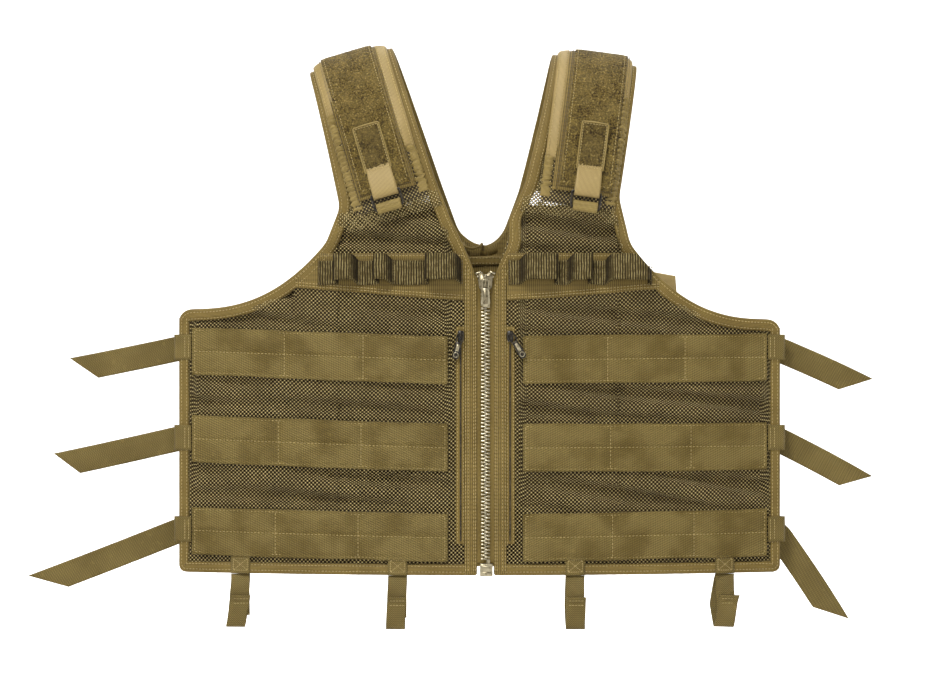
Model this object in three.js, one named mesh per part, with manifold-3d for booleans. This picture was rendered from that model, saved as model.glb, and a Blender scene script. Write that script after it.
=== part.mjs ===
// A zip-front mesh load vest, hanging as it hangs on a coat hanger, in millimetres.
// X runs to the right of someone who faces the front, Y runs to the back, Z is up.
// "left" and "right" are the sides as seen from the front.
// Heights in this file are measured from the hem; the finished group is lowered so that
// its origin is the hanger point, midway between the two shoulder pads.
import * as THREE from 'three';
import { mergeVertices } from 'three/addons/utils/BufferGeometryUtils.js';
import Module from 'manifold-3d';

// ---------- driving dimensions ----------
const HANGER_HEIGHT = 508; // the hanger point above the hem
const SIDES = {
  left: {
    sign: -1, half: 304, sideTop: 260, neck: 44, shoulder: 146, bandEnd: 188,
    lean: 16.5, strapFoot: 80, skew: 6,
    pad: { inner: [-51, -45], outer: [53, 40] },
  },
  right: {
    sign: 1, half: 293, sideTop: 250, neck: 33, shoulder: 132, bandEnd: 173,
    lean: 7.6, strapFoot: 90, skew: 4,
    pad: { inner: [-66, -48], outer: [32, 36] },
  },
};
const FACET = 20; // the body's curve is cut into flat facets this wide
const FRONT_EDGE = 16; // how far the front's side edge stands forward of the side plane
const FRONT_BULGE = 44; // how much further forward the zip stands
const BACK_EDGE = 20;
const BACK_BULGE = 36;
const BACK_INSET = 10; // the back panel is this much narrower on each side
const CLOTH = 3; // a bound mesh panel with its lining
const GAP = 0.3; // between pieces that are sewn face to face
const WEBBING = 1.4; // thickness of all webbing
const STRAP_WIDTH = 25;
const PANEL_TOP = 366;
const NECK_FOOT = 298; // the V of the neck starts here
const NECK_POINT = 12; // and this far from the zip
const FRONT_OPENING = 8; // half the gap between the two front panels, which the zip fills
const BACK_NECK = 326;
const ARMHOLE_TOP = 338;
const ARMHOLE_POWER = 2.5;

const ROWS = {
  top: { height: 210, rise: { left: 9, right: 3 } },
  middle: { height: 124, rise: { left: 8, right: 1 } },
  bottom: { height: 36, rise: { left: 5, right: 3 } },
};
const ROW_TALL = 47;
const ROW_INNER = 37; // where a webbing row starts, from the zip
const ROW_MARGIN = 13; // from a row's outer end to the panel's side edge
const BAG = { from: 24, to: 232, low: 26, high: 246, inner: -9.7, outer: -8.2 }; // behind the front
const PLACKET = { to: 19, low: 0.5, outer: 1.8 };
const ROW_OUT = 2; // how far a webbing row stands out from the mesh
const BAND = { from: 21, low: 268, slope: 0.08, high: 315, below: 2, outer: 1.5 }; // across the chest

const ARCH_FOOT = 318; // the shoulders curve back from here
const ARCH_TOP = 518;
const PILE_WIDE = 52;
const PAD_IN = 3.4;
const PAD_OUT = 10;
const PILE_IN = 10.7;
const PILE_OUT = 12.4;

const materials = {
  mesh: new THREE.MeshStandardMaterial({ color: 0x6a5a39, roughness: 0.9, metalness: 0 }),
  lining: new THREE.MeshStandardMaterial({ color: 0x4a3c20, roughness: 0.9, metalness: 0 }),
  webbing: new THREE.MeshStandardMaterial({ color: 0x766545, roughness: 0.8, metalness: 0 }),
  facing: new THREE.MeshStandardMaterial({ color: 0x7e6b43, roughness: 0.85, metalness: 0 }),
  pile: new THREE.MeshStandardMaterial({ color: 0x7c673c, roughness: 1, metalness: 0 }),
  elastic: new THREE.MeshStandardMaterial({ color: 0x726545, roughness: 0.85, metalness: 0 }),
  nickel: new THREE.MeshStandardMaterial({ color: 0xc9c2ae, roughness: 0.3, metalness: 1 }),
  dark: new THREE.MeshStandardMaterial({ color: 0x2c2618, roughness: 0.45, metalness: 0.6 }),
  plastic: new THREE.MeshStandardMaterial({ color: 0x4d4229, roughness: 0.5, metalness: 0 }),
};

const vest = new THREE.Group();
const wasm = await Module();
wasm.setup();

function add(name, geometry, material, parent = vest) {
  const mesh = new THREE.Mesh(geometry, materials[material]);
  mesh.name = name;
  parent.add(mesh);
  return mesh;
}

// ---------- shapes ----------
// A closed geometry through a row of four-cornered sections, with flat ends.
function loft(sections) {
  const count = sections[0].length;
  const positions = sections.flat().flatMap((p) => [p.x, p.y, p.z]);
  const index = [];
  const at = (s, k) => s * count + (k % count);
  for (let s = 0; s + 1 < sections.length; s++) {
    for (let k = 0; k < count; k++) {
      index.push(at(s, k), at(s, k + 1), at(s + 1, k + 1));
      index.push(at(s, k), at(s + 1, k + 1), at(s + 1, k));
    }
  }
  const last = sections.length - 1;
  for (let k = 1; k + 1 < count; k++) {
    index.push(at(0, 0), at(0, k + 1), at(0, k));
    index.push(at(last, 0), at(last, k), at(last, k + 1));
  }
  const geometry = new THREE.BufferGeometry();
  geometry.setAttribute('position', new THREE.Float32BufferAttribute(positions, 3));
  geometry.setIndex(volume(positions, index) < 0 ? index.reverse() : index);
  geometry.computeVertexNormals();
  return geometry;
}

function volume(positions, index) {
  const corner = (i) => new THREE.Vector3().fromArray(positions, 3 * i);
  let sum = 0;
  for (let i = 0; i < index.length; i += 3) {
    const [a, b, c] = [corner(index[i]), corner(index[i + 1]), corner(index[i + 2])];
    sum += a.dot(b.cross(c));
  }
  return sum;
}

function shapeOf(points, holes = []) {
  const outline = points.map(([a, b]) => new THREE.Vector2(a, b));
  if (THREE.ShapeUtils.isClockWise(outline)) outline.reverse();
  const shape = new THREE.Shape(outline);
  for (const hole of holes) {
    shape.holes.push(new THREE.Path(hole.map(([a, b]) => new THREE.Vector2(a, b))));
  }
  return shape;
}

// Extrudes an outline from low to high along Z, X or minus Y. The outline's own axes are
// X and Y along Z, Y and Z along X, and X and Z along minus Y.
const PLANES = {
  z: [new THREE.Vector3(1, 0, 0), new THREE.Vector3(0, 1, 0), new THREE.Vector3(0, 0, 1)],
  x: [new THREE.Vector3(0, 1, 0), new THREE.Vector3(0, 0, 1), new THREE.Vector3(1, 0, 0)],
  front: [new THREE.Vector3(1, 0, 0), new THREE.Vector3(0, 0, 1), new THREE.Vector3(0, -1, 0)],
};
function prism(outline, plane, low, high, holes) {
  const settings = { depth: high - low, bevelEnabled: false, curveSegments: 1, steps: 1 };
  const geometry = new THREE.ExtrudeGeometry(shapeOf(outline, holes), settings);
  geometry.translate(0, 0, low);
  return geometry.applyMatrix4(new THREE.Matrix4().makeBasis(...PLANES[plane]));
}

// The closed outline of a strip of constant thickness along a path of [a, b] points.
function ribbon(path, thickness) {
  const points = path.map(([a, b]) => new THREE.Vector2(a, b));
  const edge = (side) =>
    points.map((point, i) => {
      const before = points[Math.max(0, i - 1)];
      const after = points[Math.min(points.length - 1, i + 1)];
      const along = after.clone().sub(before).normalize();
      const half = (side * thickness) / 2;
      return [point.x - along.y * half, point.y + along.x * half];
    });
  return [...edge(1), ...edge(-1).reverse()];
}

function arc(x, y, radius, fromDegrees, toDegrees, steps) {
  return Array.from({ length: steps + 1 }, (_, i) => {
    const angle = THREE.MathUtils.degToRad(fromDegrees + ((toDegrees - fromDegrees) * i) / steps);
    return [x + radius * Math.cos(angle), y + radius * Math.sin(angle)];
  });
}

function box(x0, x1, y0, y1, z0, z1) {
  const geometry = new THREE.BoxGeometry(x1 - x0, y1 - y0, z1 - z0);
  return geometry.translate((x0 + x1) / 2, (y0 + y1) / 2, (z0 + z1) / 2);
}

function solid(geometry) {
  const bare = geometry.clone();
  bare.deleteAttribute('normal');
  bare.deleteAttribute('uv');
  const merged = mergeVertices(bare, 1e-4);
  return new wasm.Manifold(
    new wasm.Mesh({
      numProp: 3,
      vertProperties: merged.attributes.position.array,
      triVerts: new Uint32Array(merged.index.array),
    }),
  );
}

function join(geometries) {
  const { vertProperties, triVerts } = geometries
    .map(solid)
    .reduce((a, b) => a.add(b))
    .getMesh();
  const geometry = new THREE.BufferGeometry();
  geometry.setAttribute('position', new THREE.BufferAttribute(vertProperties, 3));
  geometry.setIndex(new THREE.BufferAttribute(triVerts, 1));
  geometry.computeVertexNormals();
  return geometry;
}

// ---------- the body's surface ----------
const sideOf = (x) => (x < 0 ? SIDES.left : SIDES.right);
const curve = (x, edge, bulge) => edge + bulge * (1 - (x / sideOf(x).half) ** 2);

// The depth of the faceted body at x: straight between multiples of FACET.
function faceted(x, edge, bulge) {
  const low = Math.floor(x / FACET) * FACET;
  const share = (x - low) / FACET;
  return curve(low, edge, bulge) * (1 - share) + curve(low + FACET, edge, bulge) * share;
}
const frontDepth = (x) => faceted(x, FRONT_EDGE, FRONT_BULGE);
const backDepth = (x) => faceted(x, BACK_EDGE, BACK_BULGE);

function stations(from, to, extra = []) {
  const found = [from, to, ...extra.filter((x) => x > from && x < to)];
  for (let x = Math.ceil(from / FACET) * FACET; x < to; x += FACET) found.push(x);
  return [...new Set(found)].sort((a, b) => a - b);
}

// A layer of the front or back between two heights that may change with x.
function layer({ from, to, low, high, inner, outer, back = false, extra = [] }) {
  const depth = back ? (x) => backDepth(x) : (x) => -frontDepth(x);
  const way = back ? 1 : -1;
  const value = (height, x) => (typeof height === 'function' ? height(x) : height);
  const sections = stations(from, to, extra).map((x) => {
    const [z0, z1] = [value(low, x), value(high, x)];
    const [y0, y1] = [depth(x) + way * inner, depth(x) + way * outer];
    return [[y0, z0], [y1, z0], [y1, z1], [y0, z1]].map(([y, z]) => new THREE.Vector3(x, y, z));
  });
  return loft(sections);
}

// A layer of one front half, with its limits and heights as distances from the zip.
function frontLayer(side, spec) {
  const { sign } = side;
  const [near, far] = [sign * spec.from, sign * spec.to];
  const seen = (height) => (typeof height === 'function' ? (x) => height(Math.abs(x)) : height);
  return layer({
    ...spec,
    from: Math.min(near, far),
    to: Math.max(near, far),
    low: seen(spec.low),
    high: seen(spec.high),
    extra: (spec.extra ?? []).map((x) => sign * x),
  });
}

const NECK_SLOPE = 3.5; // how steeply the neckline drops to the front opening
const ARMHOLE_FLAT = 12; // the level run at the top of each side edge
function neckline(x, side) {
  if (x < NECK_POINT) return NECK_FOOT - NECK_SLOPE * (NECK_POINT - x);
  return NECK_FOOT + ((PANEL_TOP - NECK_FOOT) * (x - NECK_POINT)) / (side.neck - NECK_POINT);
}
const backNeckline = (x, side) => BACK_NECK + (PANEL_TOP - BACK_NECK) * (x / side.neck) ** 2;
const armhole = (x, side, inset) => {
  const end = side.half - inset - ARMHOLE_FLAT;
  const share = Math.min(1, Math.max(0, (end - x) / (end - side.shoulder)));
  return side.sideTop + (ARMHOLE_TOP - side.sideTop) * share ** ARMHOLE_POWER;
};
const CORNER = 10; // the rounding at the top of each side edge

function panelTop(x, side, inset, neck) {
  if (x < side.neck) return neck(x, side);
  if (x <= side.shoulder - 2) return PANEL_TOP;
  const past = Math.max(0, x - (side.half - inset - CORNER)) / CORNER;
  return armhole(x, side, inset) - CORNER * (1 - Math.sqrt(Math.max(0, 1 - past ** 2)));
}
const panelStations = (side, inset) => [
  NECK_POINT, side.neck, side.shoulder - 2, side.shoulder, 153, 170,
  side.half - inset - CORNER, side.half - inset - 5, side.half - inset - 1.5,
];

// ---------- the front halves ----------
function frontHalf(name) {
  const side = SIDES[name];
  add(`${name}_front_panel`, frontLayer(side, {
    from: FRONT_OPENING,
    to: side.half,
    low: (x) => Math.max(0, x - side.half + 6),
    high: (x) => panelTop(x, side, 0, neckline),
    inner: -CLOTH,
    outer: 0,
    extra: panelStations(side, 0),
  }), 'mesh');
  add(`${name}_pocket_bag`, frontLayer(side, BAG), 'lining');
  add(`${name}_placket`, frontLayer(side, {
    from: FRONT_OPENING,
    to: PLACKET.to,
    low: PLACKET.low,
    high: (x) => neckline(x, side) - 1,
    inner: GAP,
    outer: PLACKET.outer,
    extra: [NECK_POINT],
  }), 'facing');
  for (const [row, { height, rise }] of Object.entries(ROWS)) {
    const outer = side.half - ROW_MARGIN;
    const centre = (x) => height + (rise[name] * (x - ROW_INNER)) / (outer - ROW_INNER);
    add(`${name}_${row}_webbing`, frontLayer(side, {
      from: ROW_INNER,
      to: outer,
      low: (x) => centre(x) - ROW_TALL / 2,
      high: (x) => centre(x) + ROW_TALL / 2,
      inner: GAP,
      outer: ROW_OUT,
    }), 'webbing');
  }
  add(`${name}_chest_band`, frontLayer(side, {
    from: BAND.from,
    to: side.bandEnd,
    low: (x) => BAND.low + BAND.slope * (x - BAND.from),
    high: (x) => Math.min(BAND.high, armhole(x, side, 0) - BAND.below),
    inner: GAP,
    outer: BAND.outer,
    extra: [150, 156, 164, 172],
  }), 'facing');
}

// ---------- elastic loops across the chest ----------
const ELASTIC = { low: 284, high: 308.5, start: 22.5, end: 165, thick: 1.5, base: 2.7 };
const LOOPS = {
  left: [[24, 56, 13], [91, 105, 10], [125, 145, 12]],
  right: [[34, 68, 12], [81, 101, 11], [118, 160, 13]],
};
const LOOP_STEPS = 12;

// The strip lies on the chest band and rises in a flattened half round over each loop.
function elasticPath(name) {
  const { sign } = SIDES[name];
  const path = [];
  const put = (x, rise) => path.push([sign * x, -frontDepth(sign * x) - ELASTIC.base - rise]);
  let from = ELASTIC.start;
  for (const [low, high, rise] of LOOPS[name]) {
    for (const x of stations(from, low).filter((x) => x > from || path.length === 0)) put(x, 0);
    for (let i = 1; i < LOOP_STEPS; i++) {
      const angle = Math.PI * (1 - i / LOOP_STEPS);
      const middle = (low + high) / 2;
      const across = Math.sign(Math.cos(angle)) * Math.abs(Math.cos(angle)) ** 0.7;
      put(middle + (across * (high - low)) / 2, rise * Math.sin(angle) ** 0.8);
    }
    from = high;
    put(high, 0);
  }
  for (const x of stations(from, ELASTIC.end).slice(1)) put(x, 0);
  return path;
}

function elasticLoops(name) {
  const outline = ribbon(elasticPath(name), ELASTIC.thick);
  add(`${name}_elastic_loops`, prism(outline, 'z', ELASTIC.low, ELASTIC.high), 'elastic');
}

// ---------- the main zip ----------
const ZIP_DEPTH = FRONT_EDGE + FRONT_BULGE; // the zip's plane, in front of the side plane
const ZIP = { pitch: 4.2, tooth: 1.7, head: 1.2, spine: 3.4, edge: 5.6, low: 14, high: 285 };
const TEETH_FRONT = 1.2; // how far the teeth stand in front of the zip's plane
const TEETH_BACK = 2; // and behind it
const V_ANGLE = 21; // the parted teeth above the slider
const V_TEETH = 3;
const BOX = { from: -5.4, to: 7.2, low: -1.5, high: 11, front: 2.2, back: 2.4 }; // the foot of the zip

// A comb in X and Z: a spine with teeth that reach past the centre line.
function comb(sign, low, high, offset) {
  const points = [[ZIP.edge, low], [ZIP.spine, low]];
  for (let z = low + 0.6 + offset; z + ZIP.tooth < high; z += ZIP.pitch) {
    points.push([ZIP.spine, z], [-ZIP.head, z + 0.2]);
    points.push([-ZIP.head, z + ZIP.tooth - 0.2], [ZIP.spine, z + ZIP.tooth]);
  }
  points.push([ZIP.spine, high], [ZIP.edge, high]);
  return prism(
    points.map(([x, z]) => [sign * x, z]), 'front', ZIP_DEPTH - TEETH_BACK, ZIP_DEPTH + TEETH_FRONT,
  );
}

function mainZip() {
  for (const [name, { sign }] of Object.entries(SIDES)) {
    const offset = sign < 0 ? 0 : ZIP.pitch / 2;
    const parts = [comb(sign, ZIP.low, ZIP.high, offset)];
    const branch = comb(sign, 0, V_TEETH * ZIP.pitch, 3);
    branch.translate(-sign * ZIP.edge, 0, 0);
    branch.rotateY(THREE.MathUtils.degToRad(sign * V_ANGLE));
    branch.translate(sign * (ZIP.edge + 1.3), 0, ZIP.high + 1.2);
    parts.push(branch);
    // the knee where the parted teeth leave the straight chain
    parts.push(box(
      Math.min(sign * 4.2, sign * 5.9), Math.max(sign * 4.2, sign * 5.9),
      -ZIP_DEPTH - TEETH_FRONT, -ZIP_DEPTH + TEETH_BACK, ZIP.high - 1.5, ZIP.high + 3,
    ));
    if (sign > 0) {
      parts.push(box(
        BOX.from, BOX.to, -ZIP_DEPTH - BOX.front, -ZIP_DEPTH + BOX.back, BOX.low, BOX.high,
      ));
      parts.push(box(
        ZIP.spine, ZIP.edge, -ZIP_DEPTH - TEETH_FRONT, -ZIP_DEPTH + TEETH_BACK,
        BOX.high - 1, ZIP.low + 1,
      ));
    }
    add(`${name}_zip_teeth`, join(parts), 'nickel');
  }
  mainSlider();
}

const SLIDER = { low: 279, high: 296, flange: 285.5, half: 7.3, wall: 1.3 };
const PULL_HEIGHT = 288; // the axis of the pull's cross bar
const PULL_STAND = 4.9; // how far that axis stands in front of the zip's plane

function mainSlider() {
  const { low, high, flange, half, wall } = SLIDER;
  const foot = PULL_HEIGHT - 4.5;
  const head = PULL_HEIGHT + 4.5;
  const front = -ZIP_DEPTH - 2.2;
  const back = -ZIP_DEPTH + 2.5;
  const parts = [
    box(-half, half, front - wall, front, low, high),
    box(-half, half, back, back + wall, low, high),
    box(-half, -half + wall - 0.1, front - 0.1, back + 0.1, low, flange),
    box(half - wall + 0.1, half, front - 0.1, back + 0.1, low, flange),
    box(-1.3, 1.3, front - 5.2, front - 1, foot, foot + 1.4),
    box(-1.3, 1.3, front - 5.2, front - 1, head - 1.4, head),
    box(-1.3, 1.3, front - 5.2, front - 4, foot, head),
  ];
  add('main_slider', join(parts), 'nickel');
  const [top, eye, end] = [PULL_HEIGHT + 0.8, PULL_HEIGHT - 8, PULL_HEIGHT - 26];
  const outline = [[-4.8, end], [4.8, end], [3.4, top], [-3.4, top]];
  const hole = [[-2, eye], [2, eye], [2, top - 1.6], [-2, top - 1.6]];
  const near = ZIP_DEPTH + PULL_STAND;
  add('main_pull', prism(outline, 'front', near - 0.6, near + 0.6, [hole]), 'nickel');
}

// ---------- the pocket zips beside the plackets ----------
const POCKET = { inner: 20, outer: 28.5, low: 30, high: 243 };
const POCKET_SLIDER = { at: 24.2, half: 3.4, low: 228, high: 239, out: 3.6, pivot: 235.4 };
const POCKET_PULLS = {
  left: { tilt: 13, length: 25, wide: 7 },
  right: { tilt: 31, length: 27, wide: 7 },
};

function pocketZip(name) {
  const side = SIDES[name];
  const { sign } = side;
  add(`${name}_pocket_zip`, frontLayer(side, {
    from: POCKET.inner, to: POCKET.outer, low: POCKET.low, high: POCKET.high, inner: GAP, outer: 1.4,
  }), 'facing');
  const x = sign * POCKET_SLIDER.at;
  const y = -frontDepth(x);
  const { half, low, high, out, pivot } = POCKET_SLIDER;
  add(`${name}_pocket_slider`, join([
    box(x - half, x + half, y - out, y - 1.8, low, high),
    box(x - 0.6, x + 0.6, y - 6.6, y - out + 0.2, pivot - 3.6, pivot - 2.6),
    box(x - 0.6, x + 0.6, y - 6.6, y - out + 0.2, pivot + 1.3, pivot + 2.3),
    box(x - 0.6, x + 0.6, y - 6.6, y - 5.6, pivot - 3.6, pivot + 2.3),
  ]), 'dark');
  const { tilt, length, wide } = POCKET_PULLS[name];
  const outline = [[-3.6, 0.7], [-wide / 2, -length], [wide / 2, -length], [3.6, 0.7]];
  const eye = [[-2.6, -7.6], [2.6, -7.6], [2.6, -0.7], [-2.6, -0.7]];
  const grip = arc(0, -length + 4, 1.4, 0, 315, 7);
  const pull = prism(outline, 'front', 4.1, 5.1, [eye, grip]);
  const holder = new THREE.Group();
  holder.position.set(x, y, pivot);
  holder.rotation.y = THREE.MathUtils.degToRad(-sign * tilt);
  vest.add(holder);
  add(`${name}_pocket_pull`, pull, 'dark', holder);
}

// ---------- the back ----------
function backPanel() {
  const half = { left: SIDES.left.half - BACK_INSET, right: SIDES.right.half - BACK_INSET };
  const extra = Object.values(SIDES).flatMap((side) =>
    panelStations(side, BACK_INSET).map((x) => side.sign * x),
  );
  add('back_panel', layer({
    from: -half.left,
    to: half.right,
    low: 0,
    high: (x) => panelTop(Math.abs(x), sideOf(x), BACK_INSET, backNeckline),
    inner: -CLOTH,
    outer: 0,
    back: true,
    extra,
  }), 'mesh');
}

// Each back strap crosses the whole back and turns forward round both side edges.
const STRAP_HEIGHTS = { top: 223, middle: 133, bottom: 42 };
const STRAP_OUT = GAP + WEBBING / 2;
const TURN = 3.2; // radius of the turn round a side edge

function backStraps() {
  for (const [row, height] of Object.entries(STRAP_HEIGHTS)) {
    const ends = [-1, 1].map((sign) => {
      const edge = sideOf(sign).half - BACK_INSET;
      const y = backDepth(sign * edge);
      const outside = y + STRAP_OUT;
      const inside = outside - 2 * TURN;
      const turn = arc(edge + 1.2, outside - TURN, TURN, 90, -90, 6);
      return [...turn, [edge - 24, inside - 3.5]].map(([x, at]) => [sign * x, at]);
    });
    const across = stations(-SIDES.left.half + BACK_INSET, SIDES.right.half - BACK_INSET)
      .map((x) => [x, backDepth(x) + STRAP_OUT]);
    const path = [...ends[0].reverse(), ...across.slice(1, -1), ...ends[1]];
    const outline = ribbon(path, WEBBING);
    const [low, high] = [height - STRAP_WIDTH / 2, height + STRAP_WIDTH / 2];
    add(`back_${row}_strap`, prism(outline, 'z', low, high), 'webbing');
  }
}

// ---------- side adjusters: tab, ladder lock and strap tail ----------
const PIVOT_INSET = 16; // from the front's side edge to the ladder lock's outer bar
const BAR_DEPTH = -1.5; // y of that bar
const BAR_RADIUS = 1.5;
const LOOP_RADIUS = 2.6; // the middle of the webbing round the bar
const TAIL_Y = [2.1, 3.7];
const RAIL_LOW = 13.2;
const RAIL_HIGH = 16.2;
const TAIL_INNER = 62; // the tail's hidden end, inside the pivot
const TAILS = {
  left: {
    top: { drop: 12, reach: 111, cut: 27 },
    middle: { drop: 12.9, reach: 127, cut: 25 },
    bottom: { drop: 21.6, reach: 152, cut: 38 },
  },
  right: {
    top: { drop: 23, reach: 95, cut: 32 },
    middle: { drop: 26.8, reach: 94, cut: 30 },
    bottom: { drop: 55, reach: 71, cut: 34 },
  },
};

function sideAdjuster(name, row) {
  const side = SIDES[name];
  const { sign, half } = side;
  const height = STRAP_HEIGHTS[row];
  const pivot = half - PIVOT_INSET;
  const [low, high] = [height - STRAP_WIDTH / 2, height + STRAP_WIDTH / 2];
  const flip = (points) => points.map(([x, y]) => [sign * x, y]);

  // The tab: over the front panel's edge, then back to a loop round the lock's outer bar.
  const face = -frontDepth(sign * half) - STRAP_OUT;
  const start = half - ROW_MARGIN + 1;
  const tab = [
    [start, -frontDepth(sign * start) - STRAP_OUT],
    ...arc(half + 1, face + 4.2, 4.2, -90, 90, 8),
    [pivot + LOOP_RADIUS - 0.3, BAR_DEPTH - 0.6],
  ];
  const ring = [0.6, -0.7].map((off) => arc(pivot, BAR_DEPTH, LOOP_RADIUS + off, 0, 345, 23));
  add(`${name}_${row}_tab`, join([
    prism(ribbon(flip(tab), WEBBING), 'z', low, high),
    prism(flip(ring[0]), 'z', low, high, [flip(ring[1])]),
  ]), 'webbing');

  // The ladder lock: two rails, the bar in the tab, and two bars that grip the strap.
  const inward = (d) => sign * (pivot - d);
  const bar = (d0, d1, y0, y1) =>
    box(
      Math.min(inward(d0), inward(d1)), Math.max(inward(d0), inward(d1)),
      y0, y1, height - RAIL_LOW - 0.5, height + RAIL_LOW + 0.5,
    );
  const round = prism(arc(sign * pivot, BAR_DEPTH, BAR_RADIUS, 0, 330, 11), 'z',
    height - RAIL_LOW - 0.5, height + RAIL_LOW + 0.5);
  const rails = [-1, 1].map((way) => {
    const ends = [height + way * RAIL_LOW, height + way * RAIL_HIGH];
    const outline = [
      [pivot + 2, -3], [pivot + 2, 1], [pivot - 6, 6],
      [pivot - 24, 6], [pivot - 24, 0], [pivot - 4, -3],
    ];
    return prism(flip(outline), 'z', Math.min(...ends), Math.max(...ends));
  });
  add(`${name}_${row}_lock`, join([
    ...rails, round, bar(8, 11, 4.2, 6), bar(20, 24, 0, 1.6),
  ]), 'plastic');

  // The tail: level through the lock, then drooping to a slanted cut end.
  const { drop, reach, cut } = TAILS[name][row];
  const slope = Math.tan(THREE.MathUtils.degToRad(drop));
  const bend = half - 4;
  const end = pivot + PIVOT_INSET + reach;
  const rise = STRAP_WIDTH / 2 / Math.cos(THREE.MathUtils.degToRad(drop));
  const centre = (x) => height - slope * (x - bend);
  const upper = bend + (rise - STRAP_WIDTH / 2) / slope;
  const lower = bend - (rise - STRAP_WIDTH / 2) / slope;
  const outline = flip([
    [pivot - TAIL_INNER, height - STRAP_WIDTH / 2],
    [Math.max(lower, pivot - 4), height - STRAP_WIDTH / 2],
    [end - cut, centre(end - cut) - rise],
    [end, centre(end) + rise],
    [upper, height + STRAP_WIDTH / 2],
    [pivot - TAIL_INNER, height + STRAP_WIDTH / 2],
  ]);
  add(`${name}_${row}_tail`, prism(outline, 'front', -TAIL_Y[1], -TAIL_Y[0]), 'webbing');
}

// ---------- shoulders ----------
// A point over the shoulder: u across the strap, turn from 0 at the front foot over the top
// (90 degrees) to 180 at the back foot, w outward.
function overShoulder(side, u, turn, w) {
  const lean = THREE.MathUtils.degToRad(side.lean);
  const reach = (ARCH_TOP - ARCH_FOOT) / Math.cos(lean) - PILE_OUT;
  const angle = THREE.MathUtils.degToRad(turn);
  const along = (reach + w) * Math.sin(angle);
  const share = Math.max(0, -Math.cos(angle));
  const foot = side.strapFoot - side.skew * share;
  const out = foot + u * Math.cos(lean) + along * Math.sin(lean);
  const x = side.sign * out;
  const z = ARCH_FOOT + along * Math.cos(lean) - u * Math.sin(lean);
  const depth = turn < 90 ? -curve(x, FRONT_EDGE, FRONT_BULGE) : curve(x, BACK_EDGE, BACK_BULGE);
  const y = depth * Math.abs(Math.cos(angle)) - w * Math.cos(angle);
  return new THREE.Vector3(x, y, z);
}

const PILE_EDGES = { inner: [-PILE_WIDE / 2, -PILE_WIDE / 2], outer: [PILE_WIDE / 2, PILE_WIDE / 2] };
const TURN_STEP = 8; // degrees over the shoulder from one section to the next

// edges gives the strip's inner and outer edge, each at the foot and at the top.
function overShoulderStrip(side, edges, inner, outer, from, steps) {
  const sections = Array.from({ length: steps + 1 }, (_, i) => {
    const turn = from + TURN_STEP * i;
    const low = (1 - Math.sin(THREE.MathUtils.degToRad(turn))) ** 1.5;
    const [u0, u1] = [edges.inner, edges.outer].map(([foot, top]) => top + (foot - top) * low);
    const corners = [[u0, inner], [u1, inner], [u1, outer], [u0, outer]];
    return corners.map(([u, w]) => overShoulder(side, u, turn, w));
  });
  return loft(sections);
}

const RING = { wide: 31, tall: 18, bar: 2.6, turn: 16.5, stand: 14.2, thick: 2.2 };

function shoulder(name) {
  const side = SIDES[name];
  add(`${name}_shoulder_pad`,
    overShoulderStrip(side, side.pad, PAD_IN, PAD_OUT, 9.2, 20), 'facing');
  add(`${name}_pile_strap`,
    overShoulderStrip(side, PILE_EDGES, PILE_IN, PILE_OUT, 17.2, 16), 'pile');

  // The ring tab and its ring share a flat frame that touches the strap's front.
  const foot = overShoulder(side, 0, RING.turn, 0);
  const up = overShoulder(side, 0, RING.turn + 14, 0).sub(foot).normalize();
  const across = overShoulder(side, 10, RING.turn, 0).sub(foot).multiplyScalar(side.sign).normalize();
  const outward = across.clone().cross(up).normalize();
  const frame = new THREE.Group();
  frame.matrixAutoUpdate = false;
  frame.matrix.makeBasis(across, up.clone(), outward).setPosition(foot);
  vest.add(frame);
  const channel = arc(RING.stand + RING.thick / 2, 0, 1.9, 0, 330, 11);
  const fold = arc(RING.stand + RING.thick / 2, 0, 3.1, 0, -180, 8);
  const profile = [
    ...fold,
    [12.2, 6], [12.2, 68], [13.6, 68], [13.6, 22], [17.2, 17],
  ];
  const strip = new THREE.ExtrudeGeometry(shapeOf(profile, [channel]), {
    depth: STRAP_WIDTH, bevelEnabled: false, curveSegments: 1, steps: 1,
  });
  strip.translate(0, 0, -STRAP_WIDTH / 2);
  // the profile's axes are outward and up, and it is extruded across
  strip.applyMatrix4(new THREE.Matrix4().makeBasis(
    new THREE.Vector3(0, 0, 1), new THREE.Vector3(0, 1, 0), new THREE.Vector3(-1, 0, 0),
  ));
  add(`${name}_ring_tab`, strip, 'webbing', frame);

  const half = RING.wide / 2;
  const outer = [
    [-half, 1.3], [-half, -RING.tall + 4], [-half + 3, -RING.tall + 1.3],
    [half - 3, -RING.tall + 1.3], [half, -RING.tall + 4], [half, 1.3],
  ];
  const inset = half - RING.bar;
  const hole = [
    [-inset, -1.3], [-inset, -RING.tall + 5], [-inset + 1.5, -RING.tall + 3.9],
    [inset - 1.5, -RING.tall + 3.9], [inset, -RING.tall + 5], [inset, -1.3],
  ];
  const ring = new THREE.ExtrudeGeometry(shapeOf(outer, [hole]), {
    depth: RING.thick, bevelEnabled: false, curveSegments: 1, steps: 1,
  });
  ring.translate(0, 0, RING.stand);
  add(`${name}_ring`, ring, 'dark', frame);
}

// ---------- belt keepers under the hem ----------
const KEEPER_WIDE = 19;
const KEEPERS = {
  left_outer: -242, left_inner: -86, right_inner: 88, right_outer: 237,
};

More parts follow.
